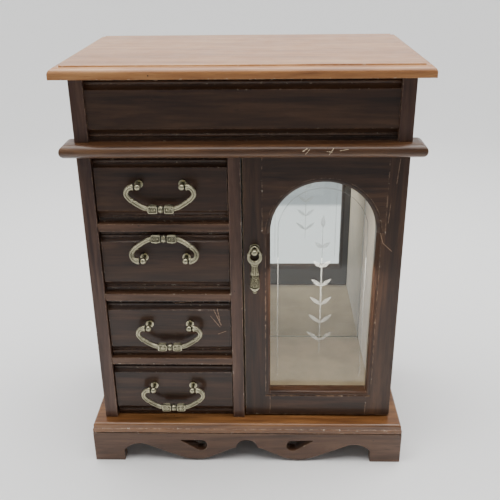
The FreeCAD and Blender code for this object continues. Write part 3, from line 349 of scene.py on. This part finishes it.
def mirror_glass(name, node, across):
    """Silvered glass with a pale ground edge all round; across is the axis of its height."""
    tree = Tree(name)
    parts = tree.add("SeparateXYZ", {"Vector": tree.place()}).outputs
    low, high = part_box(node)
    gaps = []
    for axis in (0, across):
        gaps.append(tree.math("SUBTRACT", parts[axis], low[axis]))
        gaps.append(tree.math("SUBTRACT", high[axis], parts[axis]))
    nearest = tree.math("MINIMUM", tree.math("MINIMUM", gaps[0], gaps[1]),
                        tree.math("MINIMUM", gaps[2], gaps[3]))
    ground = tree.math("SUBTRACT", 1,
                       tree.band(nearest, GROUND_EDGE * MM, (GROUND_EDGE + GROUND_FADE) * MM))
    spots = tree.band(tree.noise(tree.place(), 900, 2, 0.5), 0.74, 0.8)
    colour = tree.mix(tree.math("MULTIPLY", spots, 0.5), (0.82, 0.85, 0.85), (0.5, 0.5, 0.48))
    haze = tree.noise(tree.place(), 25, 3, 0.5)
    rough = tree.math("ADD", tree.math("MULTIPLY", haze, 0.03), tree.math("MULTIPLY", ground, 0.45))
    return tree.finish(Base_Color=colour, Roughness=rough, Metallic=1.0)


def clear_glass():
    tree = Tree("door_glass")
    smear = tree.noise(tree.place(), 35, 4, 0.6)
    rough = tree.math("MULTIPLY", tree.band(smear, 0.45, 0.8), 0.05)
    tint = tree.mix(smear, (0.97, 0.99, 0.985), (0.93, 0.965, 0.955))
    return tree.finish(Base_Color=tint, Roughness=rough, Transmission_Weight=1.0, IOR=1.45)


def etched_glass():
    tree = Tree("etched_glass")
    grain = tree.noise(tree.place(), 2600, 2, 0.6)
    cloud = tree.noise(tree.place(), 160, 3, 0.6)
    tone = tree.mix(cloud, (0.50, 0.49, 0.44), (0.62, 0.61, 0.55))
    cover = tree.math("ADD", 0.05, tree.math("MULTIPLY", cloud, 0.36))
    tree.bump(grain, 0.3, 0.0001)
    return tree.finish(Base_Color=tone, Roughness=0.9, Alpha=cover, Specular_IOR_Level=0.1)


def steel():
    tree = Tree("steel")
    brush = tree.noise(tree.place((1, 1, 0.05)), 2400, 2, 0.5)
    rough = tree.math("ADD", 0.25, tree.math("MULTIPLY", brush, 0.2))
    colour = tree.mix(brush, (0.48, 0.48, 0.47), (0.62, 0.62, 0.61))
    return tree.finish(Base_Color=colour, Roughness=rough, Metallic=1.0)


def moulded_plastic():
    tree = Tree("magnet_case")
    grain = tree.noise(tree.place(), 1300, 2, 0.5)
    colour = tree.mix(grain, (0.03, 0.02, 0.014), (0.055, 0.037, 0.026))
    tree.bump(grain, 0.15, 0.0002)
    return tree.finish(Base_Color=colour, Roughness=0.45)


WELD_GAP = 0.000002


def dress(names, material, bevel=0.0004, angle=32):
    """Give CAD nodes a material, softened edges and shading that is smooth on curves."""
    for name in names:
        node = NODES[name]
        node.data.materials.clear()
        node.data.materials.append(material)
        weld = node.modifiers.new("weld", "WELD")
        weld.merge_threshold = WELD_GAP
        if bevel:
            soften = node.modifiers.new("soften", "BEVEL")
            soften.width = bevel
            soften.segments = 2
            soften.limit_method = "ANGLE"
            soften.angle_limit = math.radians(angle)
            soften.harden_normals = True
        else:
            smooth_by_angle(node, angle)


def smooth_by_angle(item, angle):
    """Shade smooth where neighbouring faces differ by less than the angle."""
    bpy.context.view_layer.objects.active = item
    item.select_set(True)
    bpy.ops.object.shade_auto_smooth(angle=math.radians(angle))
    item.select_set(False)


def dress_frame():
    fronts = [f"drawer_{i}_front" for i in DRAWERS]
    # Scratches that the photograph shows, as (x, z) points and a width in millimetres.
    scuffs = [((-27, 152), (-21, 137), 0.5), ((-24, 153), (-22, 141), 0.4), ((-30, 146), (-22, 135), 0.4),
              ((-24, 128), (-17, 131), 0.35), ((-60, 158), (-44, 159), 0.4)]
    for i, name in enumerate(fronts):
        dress([name], wood(f"drawer_wood_{i}", DARK_TONES, "x", shift=0.31 * i, wear=0.5,
                           scratches=scuffs if i == 2 else ()))
    dress(["side_panel_left", "tray_side_left"], wood("side_wood_left", WARM_DARK, "z", wear=0.9))
    dress(["side_panel_right", "tray_side_right"], wood("side_wood_right", WARM_DARK, "z", shift=0.4))
    dress(["centre_partition"], wood("partition_wood", WARM_DARK, "z", shift=0.9, wear=0.8))
    dress(["drawer_rails", "deck_board"], wood("rail_wood", PLINTH_TONES, "x", shift=0.2, wear=0.7))
    dress(["tray_front", "tray_back"], wood("tray_wood", DARK_TONES, "x", shift=1.3, wear=0.45))
    bruises = [((46, 296), (49, 298), 0.7), ((48, 294), (51, 297.5), 0.5), ((66, 293.5), (69, 298), 0.6),
               ((64, 296), (68, 295.5), 0.5), ((74, 296.5), (80, 297.5), 0.5)]
    dress(["waist_moulding"], wood("waist_wood", WAIST_TONES, "x", shift=0.6, wear=0.8, coat=0.35,
                                   worn=(0.62, 0.50, 0.34), scratches=bruises))
    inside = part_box("door_stile_right")[1][1] / MM
    crack = [((109.8, 231.9), (111.1, 222.7), 0.5), ((111.1, 222.7), (113.5, 214.6), 0.45),
             ((113.5, 214.6), (121, 207.5), 0.4), ((117.5, 249), (116.5, 232), 0.25),
             ((122.5, 286), (121, 266), 0.25)]
    dress(["door_stile_left", "door_stile_right"],
          wood("stile_wood", DARK_TONES, "z", shift=1.9, scratches=crack, back=inside))
    dress(["door_rail_top", "door_rail_bottom"],
          wood("door_rail_wood", DARK_TONES, "x", shift=2.3, back=inside))
    dress(["door_glass_bead"], wood("bead_wood", DARK_TONES, "z", shift=2.6), bevel=0.0002)
    dress(["lid_board"], wood("lid_wood", LID_TONES, "x", gloss=0.24, coat=0.4, shift=0.1, wear=0.5,
                              worn=(0.62, 0.42, 0.24)))
    dress(["lid_mirror_frame"], wood("lid_frame_wood", WARM_TONES, "x", shift=0.8))
    dress(["base_board"], wood("base_wood", WARM_TONES, "x", gloss=0.24, coat=0.7, shift=1.1, wear=0.9,
                               worn=(0.50, 0.36, 0.25)))
    plinth = ["plinth_front", "plinth_back", "plinth_side_left", "plinth_side_right"]
    dress(plinth, wood("plinth_wood", PLINTH_TONES, "x", gloss=0.34, coat=0.3, shift=1.6, wear=0.5))
    dress(["back_panel"], wood("back_wood", BACK_TONES, "z", gloss=0.6, coat=0.0, wear=0.2, shift=2.9))
    inner = ["plinth_corner_blocks", "necklace_rail"]
    inner += [f"drawer_{i}_box" for i in DRAWERS]
    dress(inner, wood("inner_wood", INNER_TONES, "y", gloss=0.55, coat=0.0, wear=0.2))

    brass = antique_brass()
    dress(["hinge_leaves_case", "hinge_leaves_lid", "hinge_screws_case", "hinge_screws_lid",
           "lid_hinge_pins", "door_pivot_bushes"], brass, bevel=0.00015)
    dress(["door_pull_post", "necklace_hooks"] + [f"drawer_{i}_posts" for i in DRAWERS], brass, bevel=0)
    dress(["door_pivot_pins", "door_strike"], steel(), bevel=0.0001)
    dress(["door_catch"], moulded_plastic(), bevel=0.0005)
    dress(["door_glass"], clear_glass(), bevel=0.0001)
    dress(["compartment_mirror"], mirror_glass("compartment_mirror", "compartment_mirror", 2), bevel=0)
    dress(["lid_mirror"], mirror_glass("lid_mirror", "lid_mirror", 1), bevel=0)
    dress(["compartment_lining", "tray_lining", "tray_dividers"], FELT, bevel=0.0003)


# ---- mesh helpers, in millimetres ----

def smooth_curve(points, steps):
    """Points of a curve through the given tuples, which may hold any numbers."""
    out = []
    for i in range(len(points) - 1):
        a, b = points[max(i - 1, 0)], points[i]
        c, d = points[i + 1], points[min(i + 2, len(points) - 1)]
        for k in range(steps):
            t = k / steps
            out.append(tuple(0.5 * (2 * q + (r - p) * t + (2 * p - 5 * q + 4 * r - s) * t * t
                                    + (3 * q - p - 3 * r + s) * t ** 3)
                             for p, q, r, s in zip(a, b, c, d)))
    return out + [tuple(points[-1])]


def loft(bm, rings, closed=False):
    """Join rings of points into a skin, with both ends capped unless it closes on itself."""
    rows = [[bm.verts.new(point) for point in ring] for ring in rings]
    count = len(rows[0])
    pairs = list(zip(rows, rows[1:])) + ([(rows[-1], rows[0])] if closed else [])
    for first, second in pairs:
        for i in range(count):
            j = (i + 1) % count
            bm.faces.new((first[i], first[j], second[j], second[i]))
    if not closed:
        bm.faces.new(list(reversed(rows[0])))
        bm.faces.new(rows[-1])


def circle(count):
    return [(math.cos(2 * math.pi * i / count), math.sin(2 * math.pi * i / count)) for i in range(count)]


def tube(bm, path, closed=False, sides=10, flat=1.0):
    """A round bar through (x, y, z, radius) points; flat squashes it along y."""
    rings = []
    for i, (x, y, z, radius) in enumerate(path):
        before = path[i - 1] if closed or i else path[0]
        after = path[(i + 1) % len(path)] if closed or i + 1 < len(path) else path[-1]
        along = (Vector(after[:3]) - Vector(before[:3])).normalized()
        side = along.cross(Vector((0, 1, 0)))
        side = side.normalized() if side.length > 0.001 else Vector((1, 0, 0))
        rise = side.cross(along)
        rings.append([Vector((x, y, z)) + radius * (side * c + rise * s * flat)
                      for c, s in circle(sides)])
    loft(bm, rings, closed)


def lathe(bm, profile, centre, axis="x", sides=24):
    """A turned shape: profile is (place along the axis, radius)."""
    rings = []
    for along, radius in profile:
        ring = [(along, radius * c, radius * s) for c, s in circle(sides)]
        if axis == "z":
            ring = [(b, c, a) for a, b, c in ring]
        rings.append([Vector(centre) + Vector(point) for point in ring])
    loft(bm, rings)


def ball(bm, centre, radius, squash=1.0):
    profile = [(-radius * squash * math.cos(a), radius * math.sin(a))
               for a in (0.05 + (math.pi - 0.1) * i / 10 for i in range(11))]
    lathe(bm, profile, centre, "z", 16)


def finish_piece(name, bm, material, body, replaces=(), at=None, angle=50):
    """Turn a bmesh in millimetres into a piece that rides on a body."""
    bmesh.ops.recalc_face_normals(bm, faces=bm.faces)
    matrix = Matrix.Scale(MM, 4)
    bmesh.ops.transform(bm, matrix=(at if at else Matrix.Identity(4)) @ matrix, verts=bm.verts)
    mesh = bpy.data.meshes.new(name)
    bm.to_mesh(mesh)
    bm.free()
    mesh.materials.append(material)
    item = bpy.data.objects.new(name, mesh)
    bpy.context.scene.collection.objects.link(item)
    smooth_by_angle(item, angle)
    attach(item, body)
    if replaces:
        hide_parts(*replaces)
    return item


# ---- bail pulls ----

BAIL_DEPTH = -84.25
BAIL_MIDDLE = -65.5
RAISED_ANGLE = math.radians(194)
RAISED_BAIL = 2
GRIP_DROP = -18.5


def bail_arm(bm, side):
    """One arm: pin, flange, grooved bow; stations are (x, z, width, depth, groove)."""
    stations = [(18.7, 0, 0.64, 0.64, 0), (20.55, 0, 0.64, 0.64, 0), (20.62, 0, 2.6, 2.2, 0)]
    stations += smooth_curve([
        (20.95, 0, 3.0, 2.5, 0.04), (22.2, -0.05, 2.6, 2.2, 0.2), (24.7, -1.0, 2.15, 2.0, 0.36),
        (26.55, -3.7, 2.05, 1.9, 0.42), (26.5, -7.1, 2.0, 1.8, 0.42), (24.1, -10.3, 2.0, 1.75, 0.42),
        (22.6, -11.5, 2.25, 1.9, 0.3), (21.9, -12.1, 1.7, 1.6, 0.42), (20.6, -13.0, 2.1, 1.8, 0.42),
        (17.0, -15.4, 2.0, 1.8, 0.42), (13.2, -17.4, 2.1, 1.8, 0.3), (9.4, -18.4, 2.0, 1.6, 0.2)], 5)
    rings = []
    for i, (x, z, wide, deep, groove) in enumerate(stations):
        if i < 4:
            normal = (0.0, 1.0)
        else:
            ahead, behind = stations[min(i + 1, len(stations) - 1)], stations[i - 1]
            run, rise = ahead[0] - behind[0], ahead[1] - behind[1]
            size = math.hypot(run, rise)
            normal = (-rise / size, run / size)
        ring = []
        for c, s in circle(28):
            dip = 1 - groove * math.exp(-(c / 0.3) ** 2)
            ring.append((side * (x + normal[0] * wide * c), deep * s * dip, z + normal[1] * wide * c))
        rings.append(ring)
    loft(bm, rings)


def cartouche(bm, side):
    """The framed panel beside the middle bead, the same front and back."""
    middle, half, tall, corner = 6.5, 3.8, 3.15, 1.1
    outline = []
    for corner_x, corner_z, start in ((1, 1, 0), (-1, 1, 90), (-1, -1, 180), (1, -1, 270)):
        for k in range(5):
            angle = math.radians(start + 22.5 * k)
            outline.append((corner_x * (half - corner) + corner * math.cos(angle),
                            corner_z * (tall - corner) + corner * math.sin(angle)))
    slab = [[(side * (middle + x * part), y, GRIP_DROP + z * part) for x, z in outline]
            for y, part in ((-1.35, 0.93), (-1.1, 1.0), (1.1, 1.0), (1.35, 0.93))]
    loft(bm, slab)
    for front in (-1, 1):
        rim = [(side * (middle + x * 0.9), front * 1.4, GRIP_DROP + z * 0.87, 0.62) for x, z in outline]
        tube(bm, rim, closed=True, sides=8)
        ball(bm, (side * (middle - 1.7), front * 1.5, GRIP_DROP), 0.85)
        scroll = []
        for k in range(13):
            angle = math.radians(-60 + 28 * k)
            radius = 1.45 - 0.085 * k
            scroll.append((side * (middle + 1.2 + radius * math.cos(angle)), front * 1.5,
                           GRIP_DROP + radius * math.sin(angle), 0.38))
        tube(bm, scroll, sides=7)
    crest = [(side * (middle + x), 0, GRIP_DROP + z, r) for x, z, r in
             smooth_curve([(-3.2, 2.9, 0.4), (-1.6, 3.0, 0.6), (0.4, 3.25, 0.85), (2.2, 2.9, 0.5)], 5)]
    tube(bm, crest, sides=8)


def add_bails(brass):
    for index in DRAWERS:
        low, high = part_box(f"drawer_{index}_posts")
        pivot = Vector((BAIL_MIDDLE * MM, BAIL_DEPTH * MM, (low[2] + high[2]) / 2))
        bm = bmesh.new()
        for side in (-1, 1):
            bail_arm(bm, side)
            cartouche(bm, side)
        half_bead = [(0.5, 3.3), (0.7, 2.9), (0.9, 3.2), (1.5, 3.0), (1.75, 2.3), (2.0, 1.4), (2.9, 1.2)]
        bead = [(-along, radius) for along, radius in reversed(half_bead)] + [(0, 3.4)] + half_bead
        lathe(bm, bead, (0, 0, GRIP_DROP))
        turn = RAISED_ANGLE if index == RAISED_BAIL else 0.0
        at = Matrix.Translation(pivot) @ Matrix.Rotation(turn, 4, Vector((-1, 0, 0)))
        finish_piece(f"drawer_{index}_bail_cast", bm, brass, f"bail_{index}",
                     [f"drawer_{index}_bail"], at, 42)


# ---- door pull ----

def drop_half_width(z):
    stops = [(-15.0, 3.1), (-17.2, 2.6), (-20.5, 2.75), (-24.8, 3.4), (-25.8, 3.1), (-30, 3.8),
             (-35.2, 4.2), (-37.6, 3.9), (-39.3, 2.7), (-40.2, 1.2)]
    for (z0, w0), (z1, w1) in zip(stops, stops[1:]):
        if z >= z1:
            t = (z0 - z) / (z0 - z1)
            return w0 + (w1 - w0) * (3 * t * t - 2 * t ** 3)
    return stops[-1][1]


def drop_relief(u, z, half):
    """How far the drop's face stands forward: flutes, then a woven body with a rim."""
    dome = math.sqrt(max(1 - abs(u) ** 2.4, 0))
    x = u * half
    if z > -17.2:
        return 0.9 + 0.9 * dome
    if z > -25.6:
        flute = 0.5 + 0.5 * math.cos(u * 4 * math.pi)
        return 0.6 + 0.9 * dome + 0.6 * flute * min(1, (z + 25.8) * 0.8)
    if z > -36.0:
        weave = max(1 - 1.7 * abs(math.sin(x * 1.15 + z * 0.8)),
                    1 - 1.7 * abs(math.sin(x * 1.15 - z * 0.8)))
        rib = max(0.0, 1 - abs(abs(u) - 0.88) / 0.12)
        return 0.6 + 0.7 * dome + 0.75 * max(weave, 0) * (abs(u) < 0.78) + 0.7 * rib
    bowl = -36.0 - 1.6 * (1 - u * u)
    return 0.9 + 1.6 * dome * (1 if z < bowl else 0.3)


def add_door_pull(brass):
    """A crescent on a thin loop, a lip, a fluted neck, a woven body and a bead."""
    low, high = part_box("door_pull_drop")
    pivot = Vector(((low[0] + high[0]) / 2, (low[1] + high[1]) / 2, high[2] - 0.001))
    bm = bmesh.new()
    loop = [(-4.7, -0.4, -6.9, 0.9), (-4.2, -0.2, -4.6, 0.75), (-2.9, 0, -1.9, 0.72),
            (-1.4, 0, -0.35, 0.72), (0, 0, 0, 0.72), (1.4, 0, -0.35, 0.72), (2.9, 0, -1.9, 0.72),
            (4.2, -0.2, -4.6, 0.75), (4.7, -0.4, -6.9, 0.9)]
    tube(bm, smooth_curve(loop, 5), sides=12)
    crescent = []
    for i in range(33):
        angle = math.radians(-118 + 236 * i / 32)
        lower = 0.5 + 0.5 * math.cos(angle)
        crescent.append((4.9 * math.sin(angle), -0.35, -9.3 - 4.9 * math.cos(angle),
                         0.95 + 0.85 * lower ** 1.5))
    tube(bm, crescent, sides=14, flat=0.85)
    for side in (-1, 1):
        ball(bm, (side * 4.75, -0.5, -6.7), 1.5)
    tube(bm, smooth_curve([(-3.1, -1.0, -15.2, 0.45), (-1.6, -1.5, -16.2, 0.75), (0, -1.6, -16.5, 0.85),
                           (1.6, -1.5, -16.2, 0.75), (3.1, -1.0, -15.2, 0.45)], 5), sides=10)
    rings = []
    steps, across = 150, 30
    for k in range(steps + 1):
        z = -14.6 - 25.6 * k / steps
        half = drop_half_width(z)
        front = [(half * u, -drop_relief(u, z, half), z) for u in
                 (-1 + 2 * i / across for i in range(across + 1))]
        back = [(half * u, 0.9 - 0.3 * abs(u) ** 3, z) for u in (0.96, 0.6, 0.2, -0.2, -0.6, -0.96)]
        rings.append(front + back)
    loft(bm, rings)
    ball(bm, (0, -0.85, -41.2), 1.8, 0.68)
    finish_piece("door_drop_cast", bm, brass, "door_drop", ["door_pull_drop"],
                 Matrix.Translation(pivot), 60)


# ---- felt ----

def felt_panel(name, low, high, body, material, replaces=(), round_by=0.4, pucker=0.12, seed=0.0):
    """A felt-covered card: soft edges and a faint unevenness where the felt is glued."""
    size = [b - a for a, b in zip(low, high)]
    bm = bmesh.new()
    counts = [max(2, min(34, int(part / 4))) if part > 6 else 2 for part in size]
    bmesh.ops.create_cube(bm, size=1)
    for axis in range(3):
        cuts = counts[axis] - 1
        edges = [edge for edge in bm.edges
                 if abs((edge.verts[0].co - edge.verts[1].co)[axis]) > 0.5 / (counts[axis] + 1)
                 and (edge.verts[0].co - edge.verts[1].co).normalized()[axis] ** 2 > 0.99]
        bmesh.ops.subdivide_edges(bm, edges=edges, cuts=cuts, use_grid_fill=True)
    middle = [(a + b) / 2 for a, b in zip(low, high)]
    for vert in bm.verts:
        place = Vector([m + c * s for m, c, s in zip(middle, vert.co, size)])
        gaps = [min(place[i] - low[i], high[i] - place[i]) for i in range(3)]
        for i in range(3):
            sign = 1 if place[i] < middle[i] else -1
            if gaps[i] < 0.001:
                nearest = min(gaps[j] for j in range(3) if j != i)
                soft = round_by * max(0.0, 1 - nearest / (round_by * 3)) ** 2
                wave = pucker * (0.5 + 0.5 * noise.noise(place * 0.09 + Vector((seed, 0, i))))
                place[i] += sign * min(soft + wave, size[i] * 0.3)
        vert.co = place
    return finish_piece(name, bm, material, body, replaces, None, 60)


def box_mm(node):
    low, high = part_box(node)
    return [v / MM for v in low], [v / MM for v in high]


def add_felt_linings(material):
    low, high = box_mm("compartment_lining")
    thick = 1.2
    floor = ([low[0], low[1], low[2]], [high[0], high[1], low[2] + thick])
    left = ([low[0], low[1], low[2] + thick], [low[0] + thick, high[1], high[2]])
    right = ([high[0] - thick, low[1], low[2] + thick], [high[0], high[1], high[2]])
    for i, (name, (a, b)) in enumerate((("floor", floor), ("left", left), ("right", right))):
        felt_panel(f"compartment_felt_{name}", a, b, "case", material, ["compartment_lining"],
                   0.3, 0.12, 3.1 * i)

    low, high = box_mm("tray_lining")
    thick = 1.5
    inner = [low[0] + thick, low[1] + thick], [high[0] - thick, high[1] - thick]
    sides = {
        "floor": (low, [high[0], high[1], low[2] + thick]),
        "front": ([low[0], low[1], low[2] + thick], [high[0], inner[0][1], high[2]]),
        "back": ([low[0], inner[1][1], low[2] + thick], [high[0], high[1], high[2]]),
        "left": ([low[0], inner[0][1], low[2] + thick], [inner[0][0], inner[1][1], high[2]]),
        "right": ([inner[1][0], inner[0][1], low[2] + thick], [high[0], inner[1][1], high[2]])}
    for i, (name, (a, b)) in enumerate(sides.items()):
        felt_panel(f"tray_felt_{name}", a, b, "case", material, ["tray_lining"], 0.35, 0.12, 1.7 * i)

    low, high = box_mm("tray_dividers")
    wide = 3.0
    middle_y = (low[1] + high[1]) / 2
    open_x = low[0] + wide
    middle_x = (open_x + high[0]) / 2
    walls = {
        "main": (low, [open_x, high[1], high[2]]),
        "long": ([open_x, middle_y - wide / 2, low[2]], [high[0], middle_y + wide / 2, high[2]]),
        "front": ([middle_x - wide / 2, low[1], low[2]],
                  [middle_x + wide / 2, middle_y - wide / 2, high[2]]),
        "back": ([middle_x - wide / 2, middle_y + wide / 2, low[2]],
                 [middle_x + wide / 2, high[1], high[2]])}
    for i, (name, (a, b)) in enumerate(walls.items()):
        felt_panel(f"tray_divider_{name}", a, b, "case", material, ["tray_dividers"], 0.8, 0.15, 2.3 * i)

    bottom_rise, wall_inset, front_inset, felt_thick = 5, 5.3, 0.3, 1.1
    for index in DRAWERS:
        low, high = box_mm(f"drawer_{index}_box")
        floor_z = low[2] + bottom_rise
        felt_panel(f"drawer_{index}_felt", [low[0] + wall_inset, low[1] + front_inset, floor_z],
                   [high[0] - wall_inset, high[1] - wall_inset, floor_z + felt_thick],
                   f"drawer_{index}", material,
                   (), 0.4, 0.1, 4.0 + index)


def add_ring_rolls(material):
    """Seven stuffed rolls, gathered a little at both ends, with a seam ring near each end."""
    low, high = box_mm("ring_rolls")
    count, gap = 7, 0.6
    seam_inset, seam_radius = 0.35, 0.32
    pitch = (high[1] - low[1] + gap) / count
    for index in range(count):
        start = low[1] + index * pitch
        middle, half = start + (pitch - gap) / 2, (pitch - gap) / 2
        tall = high[2] - low[2]
        rings = []
        steps, around = 44, 36
        for k in range(steps + 1):
            t = k / steps
            x = low[0] + (high[0] - low[0]) * t
            end = min(t, 1 - t) * (high[0] - low[0])
            pull = 1 - 0.16 * math.exp(-end / 3.2) - 0.3 * math.exp(-end / 0.7)
            ring = []
            for c, s in circle(around):
                power = 0.72 if s > 0 else 0.42
                y = math.copysign(abs(c) ** power, c) * half
                z = math.copysign(abs(s) ** 0.8, s)
                crease = noise.noise(Vector((x * 0.13 + index * 9, c * 1.3, s * 1.3)))
                fold = 0.25 * math.exp(-end / 5) * math.sin(10 * math.atan2(s, c) + index)
                swell = pull * (1 - 0.03 + 0.035 * crease) + 0.03 * fold
                ring.append((x, middle + y * swell * 0.985,
                             low[2] + tall / 2 + z * tall / 2 * min(swell, 0.995)))
            rings.append(ring)
        bm = bmesh.new()
        loft(bm, rings)
        for end_x in (low[0] + seam_inset, high[0] - seam_inset):
            seam = [(end_x, middle + half * 0.62 * c, low[2] + tall / 2 + tall * 0.33 * s, seam_radius)
                    for c, s in circle(28)]
            tube(bm, seam, closed=True, sides=6)
        roll = finish_piece(f"ring_roll_{index + 1}", bm, material, "case", ["ring_rolls"],
                            None, 60)


# ---- etched glass ----

ETCH_LAYER = 0.008
ETCH_THICK = 0.03
ETCH_GAP = 0.03

def etch_shape(bm, points, depth):
    """A closed thin shape just in front of the glass; points are (x, z)."""
    back = ETCH_Y - ETCH_LAYER * depth
    loft(bm, [[(x, back, z) for x, z in points], [(x, back - ETCH_THICK, z) for x, z in points]])


def leaf(bm, base, angle, length, width, depth):
    a = math.radians(angle)
    along, side = (math.cos(a), math.sin(a)), (-math.sin(a), math.cos(a))
    outline = []
    for way in (1, -1):
        steps = range(9) if way > 0 else range(7, 0, -1)
        for k in steps:
            t = k / 8
            w = way * width * math.sin(math.pi * t ** 0.8) * 0.5
            outline.append((base[0] + along[0] * length * t + side[0] * w,
                            base[1] + along[1] * length * t + side[1] * w))
    etch_shape(bm, outline, depth)


def ribbon(bm, points, depth, steps=7):
    """A drawn line; points are (x, z, width)."""
    line = smooth_curve(points, steps)
    left, right = [], []
    for i, (x, z, width) in enumerate(line):
        ahead, behind = line[min(i + 1, len(line) - 1)], line[max(i - 1, 0)]
        run, rise = ahead[0] - behind[0], ahead[1] - behind[1]
        size = math.hypot(run, rise)
        nx, nz = -rise / size * width / 2, run / size * width / 2
        left.append((x + nx, z + nz))
        right.append((x - nx, z - nz))
    back = ETCH_Y - ETCH_LAYER * depth
    rings = []
    for (ax, az), (bx, bz) in zip(left, right):
        front = back - ETCH_THICK
        rings.append([(ax, back, az), (bx, back, bz), (bx, front, bz), (ax, front, az)])
    loft(bm, rings)


def add_etching(material):
    """A stock ornament: an upright sprig with paired leaves inside a plain arched border line."""
    bm = bmesh.new()
    middle, spring_line, border_radius, border_foot = 65, 222, 37, 80
    pairs, first_pair, pair_pitch, leaf_width, line_width, arc_steps = 6, 116, 18, 3.6, 0.7, 12
    ribbon(bm, [(middle, 104, 0.5), (middle, 135, 1.0), (middle, 170, 1.2), (middle, 205, 0.9),
                (middle, 226, 0.5)], 0)
    for pair in range(pairs):
        length = 15 - 1.3 * pair
        for depth, angle in ((2, 40), (4, 140)):
            leaf(bm, (middle, first_pair + pair_pitch * pair), angle, length, leaf_width, depth)
    leaf(bm, (middle, 224), 90, 12, 3.8, 2)
    arch = [(middle - border_radius, z, line_width) for z in (border_foot, 130, 180, spring_line)]
    for k in range(1, arc_steps):
        turn = math.pi - math.pi * k / arc_steps
        arch.append((middle + border_radius * math.cos(turn),
                     spring_line + border_radius * math.sin(turn), line_width))
    arch += [(middle + border_radius, z, line_width) for z in (spring_line, 180, 130, border_foot)]
    ribbon(bm, arch, 6, 4)
    finish_piece("door_glass_etching", bm, material, "door", (), None, 60)


FELT = felt("felt", (0.50, 0.40, 0.26))

ETCH_Y = box_mm("door_glass")[0][1] - ETCH_GAP

add_camera()
add_studio()
dress_frame()
BRASS = antique_brass()
add_bails(BRASS)
add_door_pull(BRASS)
add_felt_linings(FELT)
add_ring_rolls(felt("roll_felt", (0.47, 0.40, 0.29), 1500))
add_etching(etched_glass())
# A pane that casts a shadow would darken the compartment behind it.
NODES["door_glass"].visible_shadow = False
